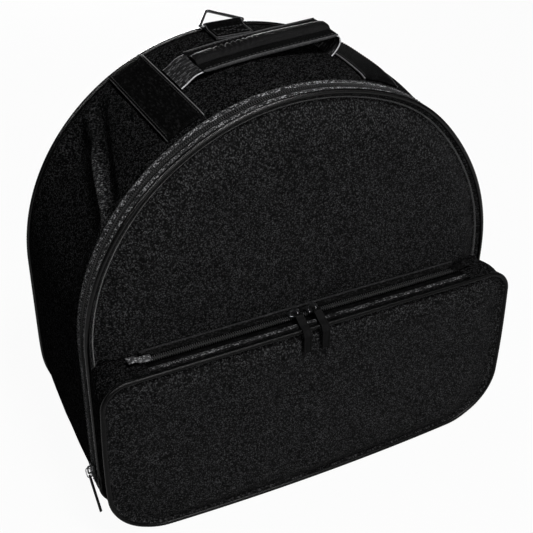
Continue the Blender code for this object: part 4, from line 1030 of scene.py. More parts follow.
def piping(name, track, y, radius, lift=0.0, deform=None, finish="piping"):
    turns = np.linspace(0, 2 * math.pi, PIPING_SIDES, endpoint=False)
    length = track["length"][: len(track["at"]), None]
    swell = radius + RIB_RISE * np.sin(2 * math.pi * length / RIB_PITCH) - RIB_RISE
    insets = radius - swell * np.cos(turns)[None]
    ys = y + swell * np.sin(turns)[None]
    points = ring_points(track, insets, ys, lift)
    if deform is not None:
        points = deform(points)
    across = radius * np.linspace(0, 2 * math.pi, PIPING_SIDES + 1)
    closed = track["closed"]
    mesh = cloth_mesh(name, points, track["length"], across, round_u=closed, round_v=True, caps=not closed)
    return linked(name, mesh, finish)


seat(piping("front_seam_piping", fine_walk, FRONT_SEAM, PIPING, SEAM_LIFT), "lid", "piping", "lid_piping")
seat(piping("back_seam_piping", fine_walk, BACK_SEAM, PIPING, SEAM_LIFT), "bag", "piping", "back_piping")
print("piping:", len(fine_walk["at"]), "rings each")

# %% [markdown]
# ## The main zip
# The zip runs from half-way round one lower corner over the arch to the other. Its teeth are a
# spiral of thick nylon thread sewn to the edge of each tape. Each half is modelled as that
# spiral, because a painted row of dots would stay flat at the edge of the picture.

# %% Wind the teeth
COIL_PITCH = 2.1 * MM
COIL_THREAD = 0.42 * MM
COIL_SIDES = 5
TURN_POINTS = 8


def rings_round(sides_of, ups, count):
    """Unit rings of points, one ring for each row of the two ways that span it."""
    turns = np.linspace(0, 2 * math.pi, count, endpoint=False)[:, None]
    return np.cos(turns) * sides_of[:, None] + np.sin(turns) * ups[:, None]


def coil_mesh(name, place, total, width, height, hand):
    """A spiral thread. place(length, over, up) gives points at lengths, across and above the tape."""
    count = int(total / COIL_PITCH) * TURN_POINTS
    length = np.linspace(0, total, count + 1)
    phase = 2 * math.pi * length / COIL_PITCH
    centre = place(length, hand * width / 2 * (1 - np.cos(phase)), height / 2 * (1 + np.sin(phase)))
    way = unit(np.gradient(centre, axis=0))
    nought = np.zeros_like(length)
    side = unit(np.cross(way, np.gradient(place(length, nought, nought), axis=0)))
    points = centre[:, None] + COIL_THREAD * rings_round(side, np.cross(side, way), COIL_SIDES)
    across = COIL_THREAD * np.linspace(0, 2 * math.pi, COIL_SIDES + 1)
    return cloth_mesh(name, points, running(centre), across, round_v=True, caps=True)


def on_walk(track, length):
    """Point and outward direction at running lengths."""
    span = track["length"][: len(track["at"])]
    return rows_at(length, span, track["at"]), unit(rows_at(length, span, track["out"]))


MAIN_COIL_FOOT = WALL_INSET + 0.6 * MM
MAIN_COIL_WIDTH, MAIN_COIL_HEIGHT, MAIN_COIL_GAP = 2.6 * MM, 1.3 * MM, 0.35 * MM
ZIP_LENGTH = AROUND - 2 * ZIP_START


def main_coil(name, hand, body, node):
    def place(length, over, up):
        at, out = on_walk(fine_walk, length + ZIP_START)
        flat = at - out * (MAIN_COIL_FOOT - up)[:, None]
        return grid(flat[:, 0], FOLD_Y + hand * MAIN_COIL_GAP + over, flat[:, 1])

    mesh = coil_mesh(name, place, ZIP_LENGTH, MAIN_COIL_WIDTH, MAIN_COIL_HEIGHT, hand)
    return seat(linked(name, mesh, "coil_nylon"), body, "zip_coil", node)


main_coil("lid_teeth", -1, "lid", "lid_zip_coil")
main_coil("body_teeth", 1, "bag", "body_zip_coil")
print("main zip:", round(ZIP_LENGTH / COIL_PITCH), "turns a side")

# %% [markdown]
# ## Tapes beside the teeth
# The tape behind the teeth is dark next to them and speckled pale further out, which is partly the
# tape's speckle and partly a painted highlight. It is folded under along its back edge, where it
# is stitched to the wall, and that fold stands up as a pale line. The lid has only a narrow strip
# between its seam and the teeth, painted pale on the left only as a painted highlight. The profiles
# give millimetres from the fold line along the depth, and from the wall inwards.

# %% Sew the tapes
TAPE_THICK = 0.8 * MM
BODY_PALE_FROM, LID_HIGHLIGHT_TO, LID_HIGHLIGHT_LEFT_OF = 4.4 * MM, 3.2 * MM, 0.12


def from_fold(profile):
    return [(FOLD_Y + y * MM, WALL_INSET + inset * MM) for y, inset in profile]


zip_span = part_of(bag_walk, ZIP_START, AROUND - ZIP_START)
BODY_TAPE = from_fold(((0.9, 1.1), (3.2, 0.9), (4.0, 0.2), (5.4, -0.5), (7.2, -0.8)))
BODY_TAPE += from_fold(((8.8, -0.7), (9.8, 0.1), (10.2, 1.5), (14.0, 2.6)))
LID_TAPE = [(FRONT_SEAM + 2.2 * MM, WALL_INSET + 1.9 * MM), (FRONT_SEAM + 3.4 * MM, WALL_INSET + 1.6 * MM)]
LID_TAPE += from_fold(((-7.0, 0.3), (-5.4, -0.2), (-3.8, 0.2), (-3.0, 0.9), (-0.9, 1.1)))
body_tape = strip("body_zip_cloth", "dark_tape", zip_span, BODY_TAPE, TAPE_THICK)
# The body tape's outer part is pale speckled tape, partly a painted highlight on the fold.
second_finish(body_tape, "zip_tape", lambda x, y, z: y > FOLD_Y + BODY_PALE_FROM)
seat(body_tape, "bag", "zip_tape", "body_zip_tape")
lid_tape = strip("lid_zip_cloth", "dark_tape", bag_walk, LID_TAPE, TAPE_THICK)
# The lid strip is pale only left of x = 0.12 m: a painted highlight on the side that faces the light.
second_finish(lid_tape, "zip_tape", lambda x, y, z: y < FOLD_Y - LID_HIGHLIGHT_TO and x < LID_HIGHLIGHT_LEFT_OF)
seat(lid_tape, "lid", "zip_tape", "lid_rim")

# %% [markdown]
# ## The cloth hinge
# Between the two ends of the zip, under the bag, plain cloth joins the lid to the body and the
# lid turns on it. One piece spans both.

# %% Sew the hinge
HINGE_HALF = ZIP_START - 1.5 * MM
under = part_of(bag_walk, -HINGE_HALF, HINGE_HALF)
HINGE_YS = np.linspace(FRONT_SEAM + 8.2 * MM, body_tape_high.y, 16)
HINGE_PROFILE = [(y, WALL_INSET + 0.35 * MM) for y in HINGE_YS]
# The hinge takes the darker side_nylon, a painted shade.
hinge_cloth = strip("hinge_cloth", "side_nylon", under, HINGE_PROFILE, 0.9 * MM)
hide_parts("hinge_strip", "lid_fold")
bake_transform(hinge_cloth)
print(f"hinge: {2 * HINGE_HALF:.3f} m wide")

# %% [markdown]
# ## The pocket
# The pocket is a shallow box of unpadded nylon: a front panel, a wall that runs down one side,
# under and up the other, and a zip across the top. Nothing stiffens it, so the wall bulges, the
# front sags a little, and the seams between them aren't quite straight. One rule for that sag is
# shared by every piece that meets at the front seam.

# %% Lay out the pocket
POCKET_HALF = pocket_seam_high.x
POCKET_TOP = pocket_seam_high.z
POCKET_FLOOR = pocket_seam_low.z
POCKET_SEAM = (pocket_seam_low.y + pocket_seam_high.y) / 2
POCKET_PIPING = 2.2 * MM
TOP_CORNER = 25 * MM
FOOT_CORNER = 55 * MM
_, pocket_tape_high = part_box("pocket_zip_tape_front")
_, coil_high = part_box("pocket_coil_front")
ZIP_HALF = pocket_tape_high.x
ZIP_LINE = coil_high.y
POCKET_MIDDLE = np.array((0.0, (POCKET_TOP + POCKET_FLOOR) / 2))
SIDE_BULGE = 3.0 * MM
FRONT_SWELL = 6.5 * MM

WALL_PARTS = [
    ("run", (-ZIP_HALF, POCKET_TOP), (TOP_CORNER - POCKET_HALF, POCKET_TOP)),
    ("arc", 90, 180, (TOP_CORNER - POCKET_HALF, POCKET_TOP - TOP_CORNER), TOP_CORNER),
    ("run", (-POCKET_HALF, POCKET_TOP - TOP_CORNER), (-POCKET_HALF, POCKET_FLOOR + FOOT_CORNER)),
    ("arc", 180, 270, (FOOT_CORNER - POCKET_HALF, POCKET_FLOOR + FOOT_CORNER), FOOT_CORNER),
    ("run", (FOOT_CORNER - POCKET_HALF, POCKET_FLOOR), (POCKET_HALF - FOOT_CORNER, POCKET_FLOOR)),
    ("arc", 270, 360, (POCKET_HALF - FOOT_CORNER, POCKET_FLOOR + FOOT_CORNER), FOOT_CORNER),
    ("run", (POCKET_HALF, POCKET_FLOOR + FOOT_CORNER), (POCKET_HALF, POCKET_TOP - TOP_CORNER)),
    ("arc", 0, 90, (POCKET_HALF - TOP_CORNER, POCKET_TOP - TOP_CORNER), TOP_CORNER),
    ("run", (POCKET_HALF - TOP_CORNER, POCKET_TOP), (ZIP_HALF, POCKET_TOP)),
]
pocket_wall_walk = walk(WALL_PARTS, 4 * MM, closed=False)
pocket_seam_walk = walk(WALL_PARTS + [("run", (ZIP_HALF, POCKET_TOP), (-ZIP_HALF, POCKET_TOP))], 1.5 * MM)


def sagged(points):
    """The pocket's sides bulge outwards half-way up and its foot swells forwards, less towards the lid."""
    points = np.array(points, float)
    height = np.clip(points[..., 2] / POCKET_TOP, 0, 1)
    forward = smooth((lid_cover_low.y - points[..., 1]) / (lid_cover_low.y - POCKET_SEAM))
    sideways = np.clip(points[..., 0] / POCKET_HALF, -1, 1)
    points[..., 0] += SIDE_BULGE * sideways * np.abs(sideways) ** 3 * np.sin(math.pi * height) * forward
    low = smooth((0.72 - height) / 0.62) * np.clip(1 - (sideways / 0.85) ** 2, 0, 1)
    points[..., 1] -= FRONT_SWELL * low * forward
    return points


lid_rim_line = panel_outline(COVER_INSET) - MIDDLE
lid_rim_turn = np.arctan2(lid_rim_line[:, 1], lid_rim_line[:, 0])
turn_order = np.argsort(lid_rim_turn)


def share_of_panel(x, z):
    """How far out a point (x, z) lies on a big panel, from 0 at its middle to 1 at its edge."""
    flat = grid(x, z) - MIDDLE
    turn, reach = np.arctan2(flat[..., 1], flat[..., 0]), np.hypot(*lid_rim_line[turn_order].T)
    edge = np.interp(turn, lid_rim_turn[turn_order], reach, period=2 * math.pi)
    return np.clip(np.hypot(flat[..., 0], flat[..., 1]) / edge, 0, 1)


def lid_face(x, z):
    """Where the lid's cloth lies, in y, behind a point (x, z)."""
    return FRONT_SEAM - CLOTH / 2 - crown_profile(share_of_panel(x, z), LID_CROWN)


def back_face(x, z):
    """Where the back's cloth lies, in y, before a point (x, z)."""
    return BACK_SEAM + CLOTH / 2 + crown_profile(share_of_panel(x, z), BACK_CROWN)


print(f"pocket: {2 * POCKET_HALF:.3f} x {POCKET_TOP:.3f} m, seam at {POCKET_SEAM:.4f}")

# %% Sew the pocket's wall
POCKET_TAPER = 3.6 * MM
POCKET_CLOTH = 1.1 * MM
POCKET_FOLD = 1.1 * MM
WALL_STATIONS = 15


def pocket_wall_cloth():
    track, length = pocket_wall_walk, pocket_wall_walk["length"][:, None]
    share = np.linspace(0, 1, WALL_STATIONS)[None]
    front, back = POCKET_SEAM + 1.2 * MM, FRONT_SEAM - 1.4 * MM
    quiet = smooth(np.minimum(length, length[-1] - length) / (60 * MM)) * np.sin(math.pi * share)
    folds = np.sin(2 * math.pi * (1.4 * share + ripples(length, 0.0, 1.1, 23)))
    slack = ripples(length, 60 * MM * share, 2.2 * MM, 21) + POCKET_FOLD * folds + 0.4 * MM
    ys = front + (back - front) * share
    points = ring_points(track, POCKET_TAPER * share + 0.3 * MM + quiet * slack, 0.0)
    edge = lid_face(points[..., 0], points[..., 2]) - 1.0 * MM
    points[..., 1] = np.where(share > 0.999, np.minimum(ys, edge), ys)
    points[:, 1:-1, 1] = points[:, :1, 1] + (points[:, -1:, 1] - points[:, :1, 1]) * share[:, 1:-1]
    points = sagged(points)
    points[..., 2] = np.maximum(points[..., 2], 0.6 * MM)
    mesh = cloth_mesh("pocket_wall_cloth", points, track["length"], share[0] * (back - front))
    # The pocket's wall takes the darker side_nylon, a painted shade.
    return thicken(linked("pocket_wall_cloth", mesh, "side_nylon"), POCKET_CLOTH, offset=1.0)


seat(pocket_wall_cloth(), "lid", "side_nylon", "pocket_wall")
pocket_piping = piping(
    "pocket_seam_piping", pocket_seam_walk, POCKET_SEAM, POCKET_PIPING, deform=sagged, finish="dull_piping"
)
seat(pocket_piping, "lid", "piping", "pocket_piping")

# %% Sew the pocket's front
pocket_front_low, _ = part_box("pocket_front")
POCKET_CROWN = POCKET_SEAM - 0.7 * MM - pocket_front_low.y
pocket_front_line = (pocket_seam_walk["at"] - pocket_seam_walk["out"] * 3.6 * MM)[::3]
front_facts = (POCKET_SEAM - 0.6 * MM, -1, POCKET_CROWN - 1.2 * MM, 2.9 * MM, 27, sagged, 0.72, 2.6 * MM)
mesh = panel_mesh("pocket_front_cloth", pocket_front_line, POCKET_MIDDLE, *front_facts)
pocket_front_cloth = thicken(linked("pocket_front_cloth", mesh, "front_nylon"), POCKET_CLOTH)
seat(pocket_front_cloth, "lid", "front_nylon", "pocket_front")

# %% [markdown]
# ## The top of the pocket
# Looking down on the pocket's mouth there are five bands: a folded strip of tape behind the front
# seam, a shadowed dip, the two rows of teeth, the rear tape, and the ridge of the seam that holds
# it to the lid. The dip matters, because it is what makes the strip in front look raised.

# %% Sew the pocket's zip
FRONT_TAPE = [(-18.0, -2.2), (-17.2, -1.2), (-16.2, 0.0), (-15.0, 0.5), (-13.8, 0.6), (-12.4, 0.4)]
FRONT_TAPE += [(-11.4, -0.2), (-10.6, -1.3), (-9.4, -2.2), (-7.4, -2.6), (-3.0, -2.7)]
REAR_TAPE = [(3.0, -2.6), (5.6, -2.2), (7.6, -1.4), (9.2, -0.3), (10.2, 0.9)]
REAR_TAPE += [(11.0, 1.6), (12.0, 1.7), (12.8, 1.0), (13.4, -0.3), (13.6, -1.2)]
pocket_xs = np.linspace(-ZIP_HALF, ZIP_HALF, 84)


def mouth_strip(name, profile, seed, finish, highlight_from, highlight_to):
    """A dark strip along the pocket's mouth with a painted highlight along part of it. Its profile is in mm
    from the zip.
    """
    ys, zs = np.array(profile).T * MM
    quiet = smooth((ZIP_HALF - np.abs(pocket_xs)) / (20 * MM))[:, None]
    wave = ripples(pocket_xs[:, None], ys[None], 0.5 * MM, seed) * quiet
    points = grid(pocket_xs[:, None], ZIP_LINE + ys, POCKET_TOP + zs + wave)
    mesh = cloth_mesh(name, points, pocket_xs, running(np.c_[ys, zs]))
    made = thicken(linked(name, mesh, "dark_tape"), TAPE_THICK)
    return second_finish(made, finish, lambda x, y, z: highlight_from < (y - ZIP_LINE) / MM < highlight_to)


# The front strip's crest and the rear ridge's crest get paler finishes: painted highlights.
front_tape = mouth_strip("pocket_front_tape", FRONT_TAPE, 31, "mouth_tape", -16.0, -11.8)
seat(front_tape, "lid", "zip_tape", "pocket_zip_tape_front")
rear_tape = mouth_strip("pocket_rear_tape", REAR_TAPE, 32, "ridge_tape", 10.0, 13.0)
seat(rear_tape, "lid", "zip_tape", "pocket_zip_tape_back")


POCKET_COIL_FOOT = POCKET_TOP - 2.2 * MM


def pocket_coil(name, hand, node):
    def place(length, over, up):
        return grid(length - ZIP_HALF, ZIP_LINE + hand * 0.3 * MM + over, POCKET_COIL_FOOT + up)

    mesh = coil_mesh(name, place, 2 * ZIP_HALF, 2.4 * MM, 2.2 * MM, hand)
    return seat(linked(name, mesh, "coil_nylon"), "lid", "zip_coil", node)


pocket_coil("pocket_teeth_front", -1, "pocket_coil_front")
pocket_coil("pocket_teeth_back", 1, "pocket_coil_back")


TAB_LAP, TAB_STEP, TAB_DOME = 7.0 * MM, 2.6 * MM, 1.1 * MM
TAB_POINTS = 15
SIDES = {"left": -1, "right": 1}


def tape_end(name, node, side, finish):
    """The folded end of the tape, sewn over the last teeth and lapped over the pocket's wall."""
    low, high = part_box(node)
    share = np.linspace(-1, 1, TAB_POINTS)
    inner, outer = min(abs(low.x), abs(high.x)), max(abs(low.x), abs(high.x)) + TAB_LAP
    xs = side * np.linspace(*(inner, outer)[::side], TAB_POINTS)
    ys = (low.y + high.y) / 2 + 1.0 * MM + share * (high.y - low.y) / 2
    dome = TAB_DOME * np.outer(1 - np.abs(share) ** 4, 1 - np.abs(share) ** 4)
    lap = TAB_STEP * smooth((np.abs(xs) - (outer - TAB_LAP - 5 * MM)) / (6 * MM))[:, None]
    points = grid(xs[:, None], ys, low.z - 0.6 * MM + dome + lap)
    return thicken(linked(name, cloth_mesh(name, points, xs, ys), finish), 0.7 * MM)


for (word, side), finish in zip(SIDES.items(), ("tape_end", "dark_tape")):
    node = "pocket_zip_end_" + word
    seat(tape_end("zip_end_" + word, node, side, finish), "lid", "webbing", node)

# %% [markdown]
# ## Webbing over the shoulders of the bag
# Two flat bands cross the wall from the zip tape to the back seam. They are drawn down into both
# seams with the wall. Their selvedges show as two thin pale lines, painted highlights.

# %% Sew the bands
BAND_ANGLE, RIGHT_SHIFT = 62.5, 1.2
BAND_TURNS = {-1: math.radians(180 - BAND_ANGLE), 1: math.radians(BAND_ANGLE + RIGHT_SHIFT)}
BAND_THICK, BAND_COLUMNS = 1.5 * MM, 13
RIBBON_COLUMNS = 12
wall_radius = HALF_WIDTH - WALL_INSET


def ribbon(name, finish, path, across, width, thickness, steps=None):
    """Webbing along a path of points, as wide as the unit vector across. Its edges are thinner."""
    path = np.array(path, float)
    if steps:
        span = running(path)
        path = rows_at(np.linspace(0, span[-1], steps), span, path)
        for _ in range(3):
            path[1:-1] = (path[:-2] + 2 * path[1:-1] + path[2:]) / 4
    across = np.broadcast_to(np.array(across, float), path.shape)
    up = unit(np.cross(np.gradient(path, axis=0), across))
    share = np.linspace(-1, 1, RIBBON_COLUMNS + 1)
    half = thickness / 2 * (1 - 0.65 * np.abs(share) ** 8)
    round_share = np.r_[share, share[::-1]]
    height = np.r_[half, -half[::-1]]
    sideways = across[:, None] * (round_share * width / 2)[:, None]
    points = path[:, None] + sideways + up[:, None] * height[:, None]
    over = (round_share + 1) * width / 2
    mesh = cloth_mesh(name, points, running(path), np.r_[over, over[:1]], round_v=True, caps=True)
    return linked(name, mesh, finish)


def shoulder_band(word, side):
    low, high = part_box("band_" + word)
    ys = np.linspace(low.y - 0.6 * MM, high.y, 40)
    share = np.linspace(-1, 1, BAND_COLUMNS)
    turns = BAND_TURNS[side] + share * BAND_WIDTH / 2 / wall_radius
    dip = SEAM_DIP * (1 - smooth(np.minimum(ys - low.y, high.y - ys) / SEAM_REACH))
    edge = 0.35 * MM * np.abs(share) ** 6
    radius = wall_radius + 0.3 * MM + BAND_THICK - dip[:, None] - edge[None]
    points = grid(radius * np.cos(turns), ys[:, None], ARCH_Z + radius * np.sin(turns))
    mesh = cloth_mesh("shoulder_band_" + word, points, ys, (share + 1) * BAND_WIDTH / 2)
    mesh.flip_normals()
    return thicken(linked("shoulder_band_" + word, mesh, "band_webbing"), BAND_THICK)


bands = {}
for word, side in SIDES.items():
    bands[side] = seat(shoulder_band(word, side), "bag", "webbing", "band_" + word)

# %% [markdown]
# ## The carrying handle
# One strap of webbing is sewn down at both roots and runs through a padded sleeve. The sleeve has
# a raised pad down its middle, ribbed where the fingers close, and a bound edge on each side. The
# strap's legs stay sewn to the bag while the sleeve lifts.

# %% Cut the handle strap
grip_low, grip_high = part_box("handle_grip")
HANDLE_Y = (grip_low.y + grip_high.y) / 2
GRIP_TILT, GRIP_ARCH, GRIP_CLEAR, GRIP_THICK = 8.5 * MM, 3.0 * MM, 1.6 * MM, 11.0 * MM
ROOT_X, BEND = 77 * MM, 3.8 * MM
WEB_THICK = 2.0 * MM
STRAP_DROP = 2.1 * MM
LEFT_LEG_SHARES = ((0.0, 0.0), (0.22, 0.24), (0.62, 0.80))
RIGHT_LEG_SHARES = ((0.62, 0.90), (0.80, 0.72), (0.62, 0.48), (-0.30, 0.24), (-1.6, 0.0))


def grip_rise(share):
    return GRIP_TILT * share + 4 * GRIP_ARCH * share * (1 - share)


def grip_line(share):
    """Middle line of the sleeve from its left end, at share 0, to its right end."""
    share = np.asarray(share, float)
    over_top = -grip_low.x / (grip_high.x - grip_low.x)
    base = wall_high.z + GRIP_CLEAR + GRIP_THICK / 2 - grip_rise(over_top)
    x = grip_low.x + (grip_high.x - grip_low.x) * share
    return grid(x, HANDLE_Y, base + grip_rise(share))


def handle_strap():
    sleeve = grip_line(np.linspace(0, 1, 12)) - (0, 0, STRAP_DROP)
    root_z = ARCH_Z + math.sqrt((wall_radius + 1.3 * MM) ** 2 - ROOT_X**2)
    rise_left, rise_right = sleeve[0][2] - root_z, sleeve[-1][2] - root_z
    run = sleeve[0][0] + ROOT_X
    left = [(-ROOT_X + run * go, HANDLE_Y, root_z + rise_left * up) for go, up in LEFT_LEG_SHARES]
    right = [(ROOT_X + BEND * go, HANDLE_Y, root_z + rise_right * up) for go, up in RIGHT_LEG_SHARES]
    path = np.vstack([left, sleeve, right])
    made = ribbon("handle_strap", "handle_webbing", path, (0, 1, 0), HANDLE_STRAP, WEB_THICK, steps=90)
    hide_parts("handle_webbing")
    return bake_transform(made)


handle_strap()

# %% Pad the sleeve
SLEEVE_STATIONS = 110
SLEEVE_HALF = 24 * MM
EDGE_SHARE, PAD_SHARE, SEAM_SHARE = 0.93, 0.35, 0.84
RIB_START, RIB_END, RIB_STEP = -37 * MM, 14 * MM, 5.4 * MM
RIB_CUT = 2.2 * MM


def sleeve_section():
    """Shares of half-width and half-height round the sleeve: beaded edge, flat flange, raised pad."""
    bead = [(1.0, -0.45), (0.998, -0.22), (0.985, -0.05), (0.965, 0.0), (0.94, -0.07), (0.93, -0.17)]
    flange = [(0.80, -0.10), (0.62, -0.10), (0.44, -0.10)]
    over = bead + flange + [(0.37, -0.02), (0.32, 0.45), (0.25, 0.86), (0.13, 1.0), (0.0, 1.0)]
    under = [(0.975, -0.66), (0.92, -0.74), (0.70, -0.78), (0.45, -0.90), (0.22, -0.97), (0.0, -1.0)]
    right = over[::-1] + under
    left = [(-v, w) for v, w in right[1:-1]][::-1]
    return np.array(right + left)


def grip_sleeve():
    share = np.linspace(0, 1, SLEEVE_STATIONS)
    line = grip_line(share)
    up = unit(np.cross(np.gradient(line, axis=0), (0, 1, 0)))
    up *= np.sign(up[:, 2:])
    section = sleeve_section()
    thick = GRIP_THICK * (0.74 + 0.26 * np.sin(math.pi * share)) / 2
    ends = smooth(np.minimum(share, 1 - share) / 0.035) * 0.3 + 0.7
    ribs = np.where((line[:, 0] > RIB_START) & (line[:, 0] < RIB_END), 1.0, 0.0)
    fade = smooth((line[:, 0] - RIB_START) / (6 * MM)) * smooth((RIB_END - line[:, 0]) / (25 * MM))
    cut = ribs * fade * RIB_CUT * (0.5 - 0.5 * np.cos(2 * math.pi * (line[:, 0] - RIB_START) / RIB_STEP)) ** 2
    on_pad = smooth((section[:, 1] - 0.3) / 0.5)
    height = section[None, :, 1] * (thick * ends)[:, None] - cut[:, None] * on_pad[None]
    wide = section[None, :, 0] * SLEEVE_HALF * (0.97 + 0.03 * ends[:, None])
    points = line[:, None] + np.array((0, 1, 0)) * wide[..., None] + up[:, None] * height[..., None]
    across = running(np.vstack([section, section[:1]]) * (SLEEVE_HALF, 5 * MM))
    mesh = cloth_mesh("grip_sleeve", points, running(line), across, round_v=True, caps=True)
    made = linked("grip_sleeve", mesh, "grip_cloth")
    # The bound edges get the paler rolled_edge finish: a painted highlight on the beads.
    second_finish(made, "rolled_edge", lambda x, y, z: abs(y - HANDLE_Y) > EDGE_SHARE * SLEEVE_HALF)

    # The pad's top faces get the slightly paler grip_pad finish: painted light on the top of the grip.
    def on_top(x, y, z):
        middle = np.interp(x, line[:, 0], line[:, 2])
        return abs(y - HANDLE_Y) < PAD_SHARE * SLEEVE_HALF and z > middle + 0.2 * MM

    return second_finish(made, "grip_pad", on_top)


sleeve = seat(grip_sleeve(), "handle", "grip", "handle_grip")
print("sleeve ribs:", int((RIB_END - RIB_START) / RIB_STEP))

# %% [markdown]
# ## The hanging tab and its ring
# A short loop of webbing at the top of the back holds a steel triangle. The loop goes under the
# ring's base, round it and back, and both ends are sewn down together.

# %% Fold the tab
ring_low, ring_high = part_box("triangle_ring")
tab_low, tab_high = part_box("ring_tab")
RING_WIRE = 1.75 * MM
TAB_THICK, TAB_GAP, TAB_PINCH = 1.4 * MM, 0.3 * MM, 7.5 * MM


def ring_tab():
    x = (tab_low.x + tab_high.x) / 2
    bar_y, bar_z = ring_low.y + RING_WIRE, (ring_low.z + ring_high.z) / 2
    low = tab_low.z + TAB_THICK / 2
    turn = RING_WIRE + TAB_GAP + TAB_THICK / 2
    turns = np.linspace(-math.pi / 2, math.pi / 2, 12)
    route = [(tab_low.y, low), (bar_y - TAB_PINCH, low)]
    route += [(bar_y + turn * math.cos(t), bar_z + turn * math.sin(t)) for t in turns]
    route += [(y, low + TAB_THICK + TAB_GAP) for y in (bar_y - TAB_PINCH, tab_low.y)]
    path = [(x, y, z) for y, z in route]
    return ribbon("hanging_tab", "tab_webbing", path, (1, 0, 0), BAND_WIDTH, TAB_THICK, steps=60)


hanging_tab = seat(ring_tab(), "bag", "webbing", "ring_tab")

# %% [markdown]
# ## Hard parts that keep their solid
# The ring, the sliders, the pulls and the adjusters are right as they were built. They only need
# softened edges and a finish. Their corners were split on the way in, so a Weld joins them first.

# %% Finish the hard parts
SHARP_ANGLE = math.radians(30)


def finish_solid(node, finish, edge=0.0, smooth_levels=0):
    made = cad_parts[node]
    made.data.materials.clear()
    made.data.materials.append(FINISHES[finish])
    with_modifier(made, "WELD", merge_threshold=0.005 * MM)
    if edge:
        with_modifier(made, "BEVEL", width=edge, segments=2, limit_method="ANGLE", angle_limit=SHARP_ANGLE)
    if smooth_levels:
        with_modifier(made, "SUBSURF", levels=smooth_levels, render_levels=smooth_levels)


finish_solid("triangle_ring", "ring_steel", smooth_levels=2)
for node in ("main_zip_slider", "pocket_slider_left", "pocket_slider_right"):
    finish_solid(node, "dark_metal", edge=0.25 * MM)
for node in ("main_pull_link", "pocket_link_left", "pocket_link_right"):
    finish_solid(node, "dark_metal", smooth_levels=2)
for node in ("main_pull_tab", "pocket_pull_left", "pocket_pull_right"):
    finish_solid(node, "pull_rubber", edge=0.15 * MM)
for node in ("ladder_lock_left", "ladder_lock_right"):
    finish_solid(node, "buckle", edge=0.35 * MM)

# %% [markdown]
# ## Shoulder straps
# Each strap is a pad of foam in cloth, with a tape sewn down its middle that ends in a loop round
# an adjuster. A webbing from the lower corner comes up through the adjuster and hangs down again
# as a tail. The pad bends where it leaves the yoke.

# %% Pad the straps
pad_low, pad_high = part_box("strap_pad_right")
STRAP_TOP_X, STRAP_FOOT_X = 48 * MM, 120 * MM
STRAP_TOP_Z, STRAP_FOOT_Z = pad_high.z, pad_low.z
STRAP_BOW, STRAP_THICK, STRAP_THIN, STRAP_CLEAR = 19 * MM, 11 * MM, 3 * MM, 0.5 * MM
STRAP_WIDTH, STRAP_TAPER, NECK_SHARE, TAPER_SHARE = 60 * MM, 24 * MM, 0.14, 0.80
STRAP_STATIONS = 90
BACK_FACE = BACK_SEAM + CLOTH / 2 + BACK_CROWN


def strap_thickness(share):
    neck = STRAP_THIN + (STRAP_THICK - STRAP_THIN) * smooth(share / NECK_SHARE)
    return np.where(share < NECK_SHARE, neck, STRAP_THICK)


def strap_width(share):
    part = np.clip((share - TAPER_SHARE) / 0.20, 0, 1)
    return STRAP_WIDTH - STRAP_TAPER * part**2


def strap_line(share, side):
    bow = STRAP_BOW * np.sin(math.pi * share) ** 2
    x = side * (STRAP_TOP_X + (STRAP_FOOT_X - STRAP_TOP_X) * smooth(share))
    y = BACK_FACE + STRAP_CLEAR + strap_thickness(share) / 2 + bow
    return np.stack([x, y, STRAP_TOP_Z + (STRAP_FOOT_Z - STRAP_TOP_Z) * share], -1)


def strap_frames(share, side):
    line = strap_line(share, side)
    way = np.gradient(line, axis=0)
    way[0] = way[-1] = (0, 0, -1)
    across = unit(np.cross(way, (0, 1, 0)) * side)
    return line, across, unit(np.cross(across, way) * side)


PAD_VOXEL = 4.5 * MM
PAD_START = 0.80
PAD_PRESSURE = 4.0
PAD_FRAMES = 20
PAD_REACH = 3.5 * MM
HELD_HALF = STRAP_TAPE / 2 + 1 * MM


def blown_up(made, held):
    """Lets air pressure swell a pad between its seams. held(places) says which points the seams hold."""
    with_modifier(made, "REMESH", mode="VOXEL", voxel_size=PAD_VOXEL)
    set_modifiers(made)
    before = places_of(made.data)
    group = made.vertex_groups.new(name="seams")
    group.add([int(k) for k in np.flatnonzero(held(before))], 1.0, "REPLACE")
    settings = with_modifier(made, "CLOTH").settings
    settings.vertex_group_mass = group.name
    settings.use_pressure = True
    settings.uniform_pressure_force = PAD_PRESSURE
    settings.effector_weights.gravity = 0.0
    for step in range(1, PAD_FRAMES + 1):
        bpy.context.scene.frame_set(step)
    set_modifiers(made)
    bpy.context.scene.frame_set(1)
    made.vertex_groups.clear()
    move = places_of(made.data) - before
    far = np.linalg.norm(move, axis=1, keepdims=True)
    move *= np.minimum(1, PAD_REACH / np.maximum(far, 0.01 * MM))
    after = before + move
    after[:, 1] = np.maximum(after[:, 1], np.minimum(before[:, 1], BACK_FACE + STRAP_CLEAR))
    put_places(made.data, after)
    with_modifier(made, "SUBSURF", levels=1)
    set_modifiers(made)
    made.data.shade_smooth()
    corners = np.array([loop.vertex_index for loop in made.data.loops])
    put_map(made.data, places_of(made.data)[corners][:, (0, 2)])
    print(f"{made.name}: swollen by up to {far.max() * 1000:.1f} mm, kept to {PAD_REACH * 1000:.1f}")
    return made


